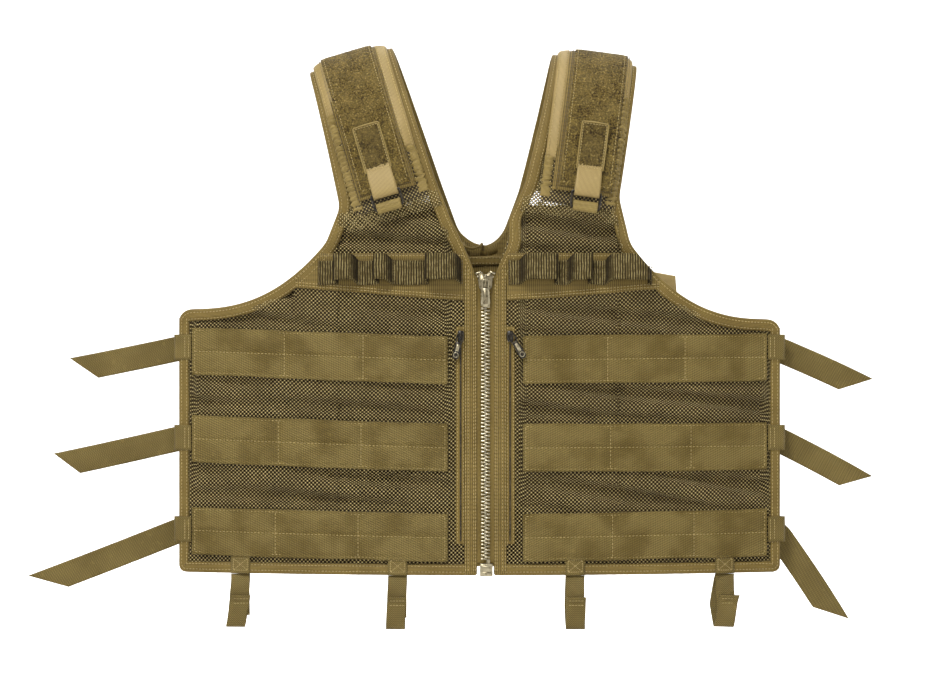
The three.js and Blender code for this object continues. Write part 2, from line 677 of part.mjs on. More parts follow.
// A strap that goes down behind, turns up in front and closes on a shorter front leg.
function keeper(name, x) {
  const y = -frontDepth(x) + CLOTH / 2;
  const place = (points) => points.map(([out, z]) => [y - out, z]);
  const long = [
    [-0.4, -2.6], [-4.4, -11], [-5.2, -30], [-4, -46], [-1.4, -53], [1.6, -53.6],
    [4, -49], [4.6, -38], [4.9, -28], [8, -22.5],
  ];
  const short = [[0.4, -2.6], [2.6, -11], [3.6, -22], [4.2, -30], [4.2, -42]];
  const [low, high] = [x - KEEPER_WIDE / 2, x + KEEPER_WIDE / 2];
  add(`${name}_keeper`, join([
    prism(ribbon(place(long), WEBBING), 'x', low, high),
    prism(ribbon(place(short), WEBBING), 'x', low + 0.2, high - 0.2),
  ]), 'webbing');
}

// ---------- the whole vest ----------
backPanel();
backStraps();
for (const name of Object.keys(SIDES)) {
  frontHalf(name);
  elasticLoops(name);
  pocketZip(name);
  shoulder(name);
  for (const row of Object.keys(STRAP_HEIGHTS)) sideAdjuster(name, row);
}
mainZip();
for (const [name, x] of Object.entries(KEEPERS)) keeper(name, x);

vest.position.z = -HANGER_HEIGHT;
const model = new THREE.Group();
model.add(vest);
export default model;
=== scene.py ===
"""A zip-front mesh load vest, hanging as it hangs on a coat hanger.

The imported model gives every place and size. Each sub-assembly is a class that builds its
cloth, webbing and hardware around those bodies and dresses them. Sizes inside the classes
are millimetres, heights are measured from the hem, and the scene itself is in metres.
"left" and "right" are the sides as seen from the front.
"""

import logging
import math
from collections.abc import Callable, Sequence
from dataclasses import dataclass, field
from enum import Enum

import bmesh
import bpy
import numpy as np
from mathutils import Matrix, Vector


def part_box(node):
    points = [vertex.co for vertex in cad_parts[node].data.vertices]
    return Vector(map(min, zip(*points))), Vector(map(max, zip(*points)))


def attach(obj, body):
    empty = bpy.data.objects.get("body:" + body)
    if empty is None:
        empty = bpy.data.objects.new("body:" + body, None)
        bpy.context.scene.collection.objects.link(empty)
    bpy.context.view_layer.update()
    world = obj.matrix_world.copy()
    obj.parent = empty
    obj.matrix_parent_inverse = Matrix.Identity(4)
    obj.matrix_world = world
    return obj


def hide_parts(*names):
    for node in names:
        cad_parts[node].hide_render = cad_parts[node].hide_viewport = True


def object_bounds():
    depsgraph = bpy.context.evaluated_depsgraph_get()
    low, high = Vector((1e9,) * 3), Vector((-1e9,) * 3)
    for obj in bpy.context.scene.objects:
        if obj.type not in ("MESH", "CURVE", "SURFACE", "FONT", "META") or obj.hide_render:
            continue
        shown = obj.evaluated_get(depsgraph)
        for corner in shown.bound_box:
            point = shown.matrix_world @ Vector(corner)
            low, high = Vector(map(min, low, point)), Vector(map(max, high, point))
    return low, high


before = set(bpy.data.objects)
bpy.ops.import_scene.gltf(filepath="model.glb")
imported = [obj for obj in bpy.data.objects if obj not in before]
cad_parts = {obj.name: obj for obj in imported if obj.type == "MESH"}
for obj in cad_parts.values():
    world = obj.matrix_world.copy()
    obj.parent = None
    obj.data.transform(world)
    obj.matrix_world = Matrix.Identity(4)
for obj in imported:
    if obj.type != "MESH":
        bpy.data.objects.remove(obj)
CAD_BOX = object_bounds()

LOG = logging.getLogger("vest")
MM = 0.001
ROOT = "vest"
WEAVE = "weave"  # the attribute that holds cloth coordinates in metres: across, along
HANGER_HEIGHT = 508.0  # the frame's origin above the hem

Array = np.ndarray
Nodes = bpy.types.NodeTree
Socket = bpy.types.NodeSocket
Surface = Callable[..., Array]


class Side(Enum):
    """A half of the vest, with the sign of its x."""

    LEFT = -1
    RIGHT = 1


class Row(Enum):
    """A row of pouch webbing and the side strap beside it."""

    TOP = "top"
    MIDDLE = "middle"
    BOTTOM = "bottom"


# ---------- colour and nodes ----------
SMOOTH = {"interpolation_type": "SMOOTHSTEP"}
COLOUR = {"data_type": "RGBA", "out": 2}
SPACE = {"noise_dimensions": "4D"}


def linear(code: str) -> tuple[float, float, float, float]:
    """Turn an sRGB hex colour into linear values.

    Args:
        code: Six hex digits.

    Returns:
        Red, green and blue, linear, and full opacity.
    """
    parts = [int(code[i : i + 2], 16) / 255 for i in (0, 2, 4)]
    r, g, b = (c / 12.92 if c <= 0.04045 else ((c + 0.055) / 1.055) ** 2.4 for c in parts)
    return (r, g, b, 1.0)


def per(size_mm: float) -> float:
    """The pattern scale whose features are a size in millimetres."""
    return 1 / (size_mm * MM)


def add_node(
    tree: Nodes, kind: str, *inputs: object, out: int | str = 0, **settings: object
) -> Socket | None:
    """Add one node with its settings, its input values and its links.

    Args:
        tree: The node tree it goes in.
        kind: The node's type name, after "ShaderNode".
        *inputs: Its inputs in order, or one dictionary of them by name or number. A socket is
            linked, None is left as it is and anything else is set.
        out: The output to return, by name or number.
        **settings: Properties of the node itself.

    Returns:
        The chosen output, or None if the node has no outputs.
    """
    node = tree.nodes.new("ShaderNode" + kind)
    for name, value in settings.items():
        setattr(node, name, value)
    given = inputs[0] if inputs and isinstance(inputs[0], dict) else dict(enumerate(inputs))
    for key, value in given.items():
        if isinstance(value, Socket):
            tree.links.new(value, node.inputs[key])
        elif value is not None:
            node.inputs[key].default_value = value
    return node.outputs[out] if len(node.outputs) else None


def new_material(name: str) -> tuple[bpy.types.Material, Nodes, Socket]:
    """Make an empty node material.

    Args:
        name: The material's name.

    Returns:
        The material, its node tree and the frame's own space, the same scale on every piece.
    """
    material = bpy.data.materials.new(name)
    material.use_nodes = True
    material.node_tree.nodes.clear()
    return material, material.node_tree, add_node(material.node_tree, "TexCoord", out="Object")


def cloth_place(tree: Nodes) -> tuple[Socket, Socket]:
    """Read the cloth coordinates.

    Args:
        tree: The node tree.

    Returns:
        The distances across and along the cloth, in metres.
    """
    vector = add_node(tree, "Attribute", attribute_name=WEAVE, out="Vector")
    across = add_node(tree, "SeparateXYZ", vector)
    return across, across.node.outputs[1]


def wave(tree: Nodes, value: Socket, pitch_mm: float) -> Socket:
    """A smooth wave of 0 to 1 that repeats every pitch.

    Args:
        tree: The node tree.
        value: A length in metres.
        pitch_mm: The repeat in millimetres.

    Returns:
        The wave.
    """
    angle = add_node(tree, "Math", value, 2 * math.pi / (pitch_mm * MM), operation="MULTIPLY")
    swing = add_node(tree, "Math", angle, operation="SINE")
    return add_node(tree, "Math", swing, 0.5, 0.5, operation="MULTIPLY_ADD")


def shade(tree: Nodes, values: dict[str, object], hole: Socket | None = None) -> None:
    """Finish a material with its shader, cut by a hole mask if there is one.

    Args:
        tree: The node tree.
        values: The shader's inputs.
        hole: Where the cloth is open, 0 to 1.
    """
    surface = add_node(tree, "BsdfPrincipled", values)
    if hole is not None:
        clear = add_node(tree, "BsdfTransparent")
        surface = add_node(tree, "MixShader", hole, surface, clear)
    add_node(tree, "OutputMaterial", {"Surface": surface})


# ---------- finishes ----------
@dataclass(frozen=True)
class KnitNet:
    """Polyester spacer net, warp knitted and dyed.

    Round yarn leaves open round holes in offset rows, so the eye sees light dots of yarn
    round dark holes, and daylight where nothing lies behind. The yarn is painted with shade towards
    the holes, a highlight on its crown and random patches of shade.
    """

    name: str = "polyester_net_knitted"
    yarn: str = "ab9552"
    glint: str = "efdca4"
    shadow: str = "33280f"
    painted_hole_shade: str = "1f170a"
    cell: float = 3.9  # mm from hole to hole along a row; about 3.2 on the real net, coarsened to show
    hole: float = 0.36  # the hole's radius as a share of the cell
    solid: bool = False  # True where the net is backed by its own lining; its holes are then painted near black as shade

    def material(self) -> bpy.types.Material:
        """Build the material."""
        material, tree, where = new_material(self.name)
        across, along = cloth_place(tree)
        both = add_node(tree, "Math", across, along, operation="ADD")
        apart = add_node(tree, "Math", across, along, operation="SUBTRACT")
        first = add_node(tree, "Math", both, per(self.cell), operation="MULTIPLY")
        second = add_node(tree, "Math", apart, per(self.cell), operation="MULTIPLY")
        pair = add_node(tree, "CombineXYZ", first, second)
        part = add_node(tree, "VectorMath", pair, operation="FRACTION")
        middle = add_node(tree, "VectorMath", part, (0.5, 0.5, 0), operation="SUBTRACT")
        radius = add_node(tree, "VectorMath", middle, operation="LENGTH", out=1)
        fray = add_node(tree, "TexNoise", where, 0.0, per(1.5), 2.0, **SPACE)
        ragged = add_node(tree, "Math", fray, 0.12, -0.06, operation="MULTIPLY_ADD")
        reach = add_node(tree, "Math", radius, ragged, operation="ADD")
        hole = add_node(tree, "MapRange", reach, self.hole + 0.05, self.hole - 0.05, **SMOOTH)
        yarn_round = add_node(tree, "MapRange", reach, self.hole, 0.72, **SMOOTH)
        # random patches of painted shade, blended towards the shadow colour below
        cloud = add_node(tree, "TexNoise", where, 0.0, per(30.0), 3.0, **SPACE)
        patches = add_node(tree, "MapRange", cloud, 0.35, 0.65, 0.0, 0.25, **SMOOTH)
        # painted shade: the yarn darkens towards the holes' edges
        colour = add_node(
            tree, "Mix", {0: yarn_round, 6: linear(self.shadow), 7: linear(self.yarn)}, **COLOUR,
        )
        # painted highlight: the yarn's crown between the holes is blended towards the glint colour
        lit = add_node(tree, "MapRange", reach, 0.5, 0.7, 0.0, 0.75, **SMOOTH)
        colour = add_node(tree, "Mix", {0: lit, 6: colour, 7: linear(self.glint)}, **COLOUR)
        colour = add_node(tree, "Mix", {0: patches, 6: colour, 7: linear(self.shadow)}, **COLOUR)
        # painted shade: on the backed net the holes are filled near black instead of showing what lies behind
        if self.solid:
            colour = add_node(tree, "Mix", {0: hole, 6: colour, 7: linear(self.painted_hole_shade)}, **COLOUR)
        values = {
            "Base Color": colour,
            "Roughness": 0.72,
            "Specular IOR Level": 0.3,
            "Sheen Weight": 0.04,
            "Normal": add_node(tree, "Bump", None, 0.7 * MM, None, yarn_round),
        }
        shade(tree, values, None if self.solid else hole)
        return material


@dataclass(frozen=True)
class Woven:
    """Nylon or polyester webbing or cloth, shuttle woven and piece dyed.

    Ribs across the strap and finer picks along it give a low corduroy that catches the
    light in lines, with painted shade in the hollows between threads, and the dye sits a little unevenly.
    """

    name: str
    base: str
    light: str
    # the colour of the painted shade in the weave's hollows
    dark: str
    rib: float  # mm between the warp ribs, side by side across the cloth
    pick: float  # mm between the weft picks along the cloth
    depth: float = 0.25  # mm of relief
    twill: float = 0.0  # how far each pick steps sideways, as a share of a rib
    roughness: float = 0.62
    patch: float = 38.0  # mm across the dye's patches
    uneven: float = 0.5  # how strongly the dye varies

    def material(self) -> bpy.types.Material:
        """Build the material."""
        material, tree, where = new_material(self.name)
        across, along = cloth_place(tree)
        step = self.twill * self.rib / self.pick
        stepped = add_node(tree, "Math", along, step, across, operation="MULTIPLY_ADD")
        ribs = wave(tree, stepped, self.rib)
        picks = wave(tree, along, self.pick)
        crossed = add_node(tree, "Math", ribs, picks, operation="MULTIPLY")
        plain = add_node(tree, "Math", ribs, 0.4, operation="MULTIPLY")
        weave = add_node(tree, "Math", crossed, 0.6, plain, operation="MULTIPLY_ADD")
        fuzz = add_node(tree, "TexNoise", where, 0.0, per(0.9), 2.0, **SPACE)
        height = add_node(tree, "Math", fuzz, 0.35, weave, operation="MULTIPLY_ADD")
        cloud = add_node(tree, "TexNoise", where, 3.0, per(self.patch), 4.0, **SPACE)
        dye = add_node(tree, "MapRange", cloud, 0.32, 0.68, 0.0, self.uneven, **SMOOTH)
        body = add_node(tree, "Mix", {0: dye, 6: linear(self.base), 7: linear(self.light)}, **COLOUR)
        # painted shade: the low parts of the weave are darkened towards the dark colour
        gaps = add_node(tree, "MapRange", weave, 0.55, 0.05, 0.0, 0.75, **SMOOTH)
        body = add_node(tree, "Mix", {0: gaps, 6: body, 7: linear(self.dark)}, **COLOUR)
        rub = add_node(tree, "TexNoise", where, 8.0, per(7.0), 3.0, **SPACE)
        worn = add_node(tree, "MapRange", rub, 0.6, 0.78, 0.0, 0.35, **SMOOTH)
        body = add_node(tree, "Mix", {0: worn, 6: body, 7: linear(self.light)}, **COLOUR)
        values = {
            "Base Color": body,
            "Roughness": self.roughness,
            "Specular IOR Level": 0.22,
            "Sheen Weight": 0.03,
            "Normal": add_node(tree, "Bump", None, self.depth * MM, None, height),
        }
        shade(tree, values)
        return material


@dataclass(frozen=True)
class LoopPile:
    """Nylon hook-and-loop pile, brushed.

    Tangled loops catch light at their tips and hold shadow between, painted as highlight on
    the tips and shade in the hollows, so the strap looks like rough felt with salt-and-pepper specks.
    """

    name: str
    base: str
    light: str
    dark: str
    tuft: float = 1.7  # mm across a tuft; under 1 on the real pile, coarsened to show

    def material(self) -> bpy.types.Material:
        """Build the material."""
        material, tree, where = new_material(self.name)
        tufts = add_node(tree, "TexNoise", where, 0.0, per(self.tuft), 2.0, **SPACE)
        fine = add_node(tree, "TexNoise", where, 5.0, per(0.8), 1.0, **SPACE)
        height = add_node(tree, "Math", fine, 0.5, tufts, operation="MULTIPLY_ADD")
        # painted shade: the pile's low parts are darkened towards the dark colour
        tips = add_node(tree, "MapRange", height, 0.6, 0.84, **SMOOTH)
        rub = add_node(tree, "TexNoise", where, 2.0, per(14.0), 2.0, **SPACE)
        worn = add_node(tree, "MapRange", rub, 0.3, 0.7, 0.0, 0.15, **SMOOTH)
        colour = add_node(tree, "Mix", {0: tips, 6: linear(self.dark), 7: linear(self.base)}, **COLOUR)
        # painted highlight: the highest tips are lightened towards the light colour
        shine = add_node(tree, "MapRange", height, 0.84, 1.05, 0.0, 0.8, **SMOOTH)
        colour = add_node(tree, "Mix", {0: shine, 6: colour, 7: linear(self.light)}, **COLOUR)
        colour = add_node(tree, "Mix", {0: worn, 6: colour, 7: linear(self.light)}, **COLOUR)
        values = {
            "Base Color": colour,
            "Roughness": 0.95,
            "Specular IOR Level": 0.15,
            "Sheen Weight": 0.12,
            "Normal": add_node(tree, "Bump", None, 1.1 * MM, None, height),
        }
        shade(tree, values)
        return material


@dataclass(frozen=True)
class RibbedElastic:
    """Covered rubber elastic, woven with raised ribs.

    Grey-tan ribs stand over near-black grooves between them, so it reads as fine stripes across
    the strip, and the sides of its loops, which face sideways, are painted nearly black as shade.
    """

    name: str = "elastic_woven_ribbed"
    rib: str = "574b2b"
    light: str = "877a50"
    # the colour between the ribs, and of the painted shade on the loops' flanks
    gap: str = "171006"
    pitch: float = 2.5  # mm from rib to rib

    def material(self) -> bpy.types.Material:
        """Build the material."""
        material, tree, where = new_material(self.name)
        across, along = cloth_place(tree)
        drift = add_node(tree, "TexNoise", where, 0.0, per(9.0), 2.0, **SPACE)
        wander = add_node(tree, "Math", drift, 1.6 * MM, along, operation="MULTIPLY_ADD")
        ribs = wave(tree, wander, self.pitch)
        knots = wave(tree, across, 1.4)
        height = add_node(tree, "Math", knots, 0.2, ribs, operation="MULTIPLY_ADD")
        raised = add_node(tree, "MapRange", height, 0.15, 0.75, **SMOOTH)
        colour = add_node(tree, "Mix", {0: raised, 6: linear(self.gap), 7: linear(self.rib)}, **COLOUR)
        # painted highlight: the rib tops are lightened towards the light colour in random specks
        speck = add_node(tree, "TexNoise", where, 0.0, per(5.0), 2.0, **SPACE)
        tips = add_node(tree, "MapRange", height, 0.7, 1.1, **SMOOTH)
        bright = add_node(tree, "MapRange", speck, 0.4, 0.6, **SMOOTH)
        lit = add_node(tree, "Math", tips, bright, operation="MULTIPLY")
        colour = add_node(tree, "Mix", {0: lit, 6: colour, 7: linear(self.light)}, **COLOUR)
        # painted shade: faces turned sideways, the loops' flanks, are blended towards the near-black gap
        # colour
        facing = add_node(tree, "NewGeometry", out="Normal")
        turned = add_node(tree, "SeparateXYZ", facing)
        sideways = add_node(tree, "Math", turned, operation="ABSOLUTE")
        sides = add_node(tree, "MapRange", sideways, 0.42, 0.85, 0.0, 0.85, **SMOOTH)
        colour = add_node(tree, "Mix", {0: sides, 6: colour, 7: linear(self.gap)}, **COLOUR)
        values = {
            "Base Color": colour,
            "Roughness": 0.78,
            "Specular IOR Level": 0.12,
            "Normal": add_node(tree, "Bump", None, 0.5 * MM, None, height),
        }
        shade(tree, values)
        return material


@dataclass(frozen=True)
class SewingThread:
    """Bonded nylon thread, twisted.

    A pale, slightly waxy thread that stands off the cloth as a row of small bright dashes.
    """

    name: str
    colour: str
    dark: str

    def material(self) -> bpy.types.Material:
        """Build the material."""
        material, tree, where = new_material(self.name)
        across, along = cloth_place(tree)
        slant = add_node(tree, "Math", along, across, operation="ADD")
        twist = wave(tree, slant, 0.9)
        cloud = add_node(tree, "TexNoise", where, 0.0, per(6.0), 2.0, **SPACE)
        change = add_node(tree, "MapRange", cloud, 0.3, 0.7, 0.0, 0.5, **SMOOTH)
        colour = add_node(tree, "Mix", {0: change, 6: linear(self.colour), 7: linear(self.dark)}, **COLOUR)
        # painted shade: the grooves of the twist are darkened towards the dark colour
        grooves = add_node(tree, "MapRange", twist, 0.4, 0.0, 0.0, 0.6, **SMOOTH)
        colour = add_node(tree, "Mix", {0: grooves, 6: colour, 7: linear(self.dark)}, **COLOUR)
        normal = add_node(tree, "Bump", None, 0.15 * MM, None, twist)
        shade(tree, {"Base Color": colour, "Roughness": 0.5, "Normal": normal})
        return material


@dataclass(frozen=True)
class PlatedMetal:
    """Zinc or brass hardware, die cast and plated or enamelled.

    The plating mirrors its surroundings softly, dulls in patches where hands rub it, and
    carries fine scuffs.
    """

    name: str
    colour: str
    worn: str
    roughness: float
    metallic: float = 1.0
    grain: float = 0.5  # mm between scuffs

    def material(self) -> bpy.types.Material:
        """Build the material."""
        material, tree, where = new_material(self.name)
        scuffs = add_node(tree, "TexNoise", where, 0.0, per(self.grain), 3.0, **SPACE)
        rub = add_node(tree, "TexNoise", where, 4.0, per(4.0), 3.0, **SPACE)
        rubbed = add_node(tree, "MapRange", rub, 0.45, 0.7, **SMOOTH)
        colour = add_node(tree, "Mix", {0: rubbed, 6: linear(self.colour), 7: linear(self.worn)}, **COLOUR)
        values = {
            "Base Color": colour,
            "Metallic": self.metallic,
            "Roughness": add_node(tree, "Math", rubbed, 0.16, self.roughness, operation="MULTIPLY_ADD"),
            "Normal": add_node(tree, "Bump", None, 0.03 * MM, None, scuffs),
        }
        shade(tree, values)
        return material


@dataclass(frozen=True)
class MouldedPlastic:
    """Acetal, injection moulded in a spark-eroded tool.

    A satin skin with a fine even grain and a dull soft highlight.
    """

    name: str
    colour: str
    worn: str

    def material(self) -> bpy.types.Material:
        """Build the material."""
        material, tree, where = new_material(self.name)
        grain = add_node(tree, "TexNoise", where, 0.0, per(0.6), 2.0, **SPACE)
        rub = add_node(tree, "TexNoise", where, 6.0, per(6.0), 3.0, **SPACE)
        rubbed = add_node(tree, "MapRange", rub, 0.45, 0.75, 0.0, 0.6, **SMOOTH)
        colour = add_node(tree, "Mix", {0: rubbed, 6: linear(self.colour), 7: linear(self.worn)}, **COLOUR)
        normal = add_node(tree, "Bump", None, 0.05 * MM, None, grain)
        shade(tree, {"Base Color": colour, "Roughness": 0.48, "Normal": normal})
        return material


@dataclass(frozen=True)
class StudioPaper:
    """Seamless background paper, matt.

    A plain pale ground that takes only a soft shadow.
    """

    name: str = "paper_matt"
    colour: str = "f4f3f1"
    fleck: str = "e9e8e6"

    def material(self) -> bpy.types.Material:
        """Build the material."""
        material, tree, where = new_material(self.name)
        fibre = add_node(tree, "TexNoise", where, 0.0, per(3.0), 2.0, **SPACE)
        flecks = add_node(tree, "Math", fibre, 0.03, operation="MULTIPLY")
        tone = add_node(tree, "Mix", {0: flecks, 6: linear(self.colour), 7: linear(self.fleck)}, **COLOUR)
        shade(tree, {"Base Color": tone, "Roughness": 0.95})
        return material


class Wardrobe:
    """Every material of the vest, made once."""

    def __init__(self) -> None:
        """Make the materials."""
        self.net = KnitNet().material()
        # the net over the foam pad, its holes painted near black as shade
        self.net_dark = KnitNet("polyester_net_on_foam", solid=True).material()
        self.net_close = KnitNet("polyester_net_close_knit", hole=0.29).material()
        self.webbing = Woven(
            "nylon_webbing_woven", "63521f", "7b6a37", "281e08",
            rib=1.7, pick=2.3, depth=0.5, twill=0.5, uneven=1.4,
        ).material()
        self.strap = Woven(
            "nylon_strap_woven", "6a5a2b", "84733f", "2b210b", rib=2.1, pick=1.9, depth=0.35, twill=1.0
        ).material()
        self.tape = Woven(
            "polyester_tape_woven", "6e5b29", "84703a", "372b0e", rib=1.3, pick=1.3, depth=0.16, uneven=0.6
        ).material()
        self.facing = Woven(
            "polyester_facing_twill", "6b5929", "7f6c39", "382c0f", rib=1.9, pick=5.0, depth=0.18, uneven=0.5
        ).material()
        self.satin = Woven(
            "nylon_band_smooth", "937f4e", "a59060", "5f4f2a", rib=1.2, pick=1.2, depth=0.1, roughness=0.5
        ).material()
        self.gathered = Woven(
            "nylon_band_gathered", "86733f", "9f8b52", "463816", rib=1.2, pick=1.2, depth=0.15, roughness=0.55
        ).material()
        # near-black lining: the pocket bag's cloth, darkened as painted shade for the inside of the vest
        self.lining = Woven(
            "nylon_lining_plain", "241b09", "30260f", "120d03", rib=1.5, pick=1.5, depth=0.1
        ).material()
        self.pile = LoopPile("nylon_pile_brushed", "57471d", "a48f53", "1f1707").material()
        self.pile_patch = LoopPile("nylon_pile_patch", "4b3d19", "94804a", "1a1306", tuft=1.9).material()
        self.elastic = RibbedElastic().material()
        self.thread = SewingThread("nylon_thread_twisted", "b09b63", "76642f").material()
        self.thread_dark = SewingThread("nylon_thread_shaded", "5d4c27", "2c2310").material()
        self.nickel = PlatedMetal("zinc_nickel_plated", "a1987f", "6f664f", 0.3).material()
        self.cast = PlatedMetal("zinc_cast_plated", "7d745e", "40392a", 0.36).material()
        self.enamel = PlatedMetal("zinc_black_enamel", "17130c", "4a4230", 0.34, metallic=0.4).material()
        self.acetal = MouldedPlastic("acetal_moulded", "3a301a", "4f4327").material()


# ---------- cloth building ----------
def catmull(points: Sequence[Sequence[float]], steps: int) -> Array:
    """Run a smooth curve through points.

    Args:
        points: The points that it passes.
        steps: How many pieces each span is cut into.

    Returns:
        The points of the curve.
    """
    given = np.asarray(points, float)
    ends = np.vstack([2 * given[0] - given[1], given, 2 * given[-1] - given[-2]])
    share = np.arange(steps)[:, None] / steps
    spans = []
    for a, b, c, d in zip(ends[:-3], ends[1:-2], ends[2:-1], ends[3:], strict=True):
        cubic = (-a + 3 * b - 3 * c + d) * share**3
        square = (2 * a - 5 * b + 4 * c - d) * share**2
        spans.append(0.5 * (cubic + square + (c - a) * share + 2 * b))
    return np.vstack([*spans, given[-1:]])


def resample(line: Array, step: float) -> Array:
    """Cut a polyline into equal steps.

    Args:
        line: Its points.
        step: About how long each step is.

    Returns:
        Evenly spaced points along it.
    """
    lengths = np.linalg.norm(np.diff(line, axis=0), axis=1)
    total = np.concatenate([[0.0], np.cumsum(lengths)])
    count = max(2, int(round(total[-1] / step)) + 1)
    at = np.linspace(0.0, total[-1], count)
    return np.column_stack([np.interp(at, total, line[:, k]) for k in range(line.shape[1])])


def unit(vectors: Array) -> Array:
    """Scale vectors to length one."""
    return vectors / np.maximum(np.linalg.norm(vectors, axis=-1, keepdims=True), 1e-12)


def resample_by(rows: Array, step: float) -> Array:
    """Resample rows evenly along the line that their first three columns make.

    Args:
        rows: N by 3 or more values.
        step: About how long each step is.

    Returns:
        The evenly spaced rows.
    """
    at = along_of(rows[:, :3])
    count = max(2, int(round(at[-1] / step)) + 1)
    where = np.linspace(0.0, at[-1], count)
    return np.column_stack([np.interp(where, at, rows[:, k]) for k in range(rows.shape[1])])


def smooth_rows(rows: Array, reach: int) -> Array:
    """Average each row with its neighbours up to reach rows away, keeping the ends.

    Args:
        rows: The rows.
        reach: How many rows away the average goes.

    Returns:
        The smoothed rows, as many as before.
    """
    padded = np.vstack([np.repeat(rows[:1], reach, 0), rows, np.repeat(rows[-1:], reach, 0)])
    kernel = np.hanning(2 * reach + 3)[1:-1]
    kernel = kernel / kernel.sum()
    return np.column_stack([np.convolve(padded[:, k], kernel, "valid") for k in range(rows.shape[1])])


def along_of(line: Array) -> Array:
    """The distance of each point of a line from its start."""
    return np.concatenate([[0.0], np.cumsum(np.linalg.norm(np.diff(line, axis=0), axis=1))])


def smooth_noise(seed: int, at: Array, size: float) -> Array:
    """Smooth random values of -1 to 1 along a length.

    Args:
        seed: Which random row to use.
        at: The lengths to read it at.
        size: The distance between its random values.

    Returns:
        One value for each length.
    """
    row = np.random.default_rng(seed).uniform(-1, 1, 512)
    place = np.asarray(at, float) / size + 200.0
    low = np.floor(place).astype(int)
    share = place - low
    share = share * share * (3 - 2 * share)
    return row[low % 512] * (1 - share) + row[(low + 1) % 512] * share


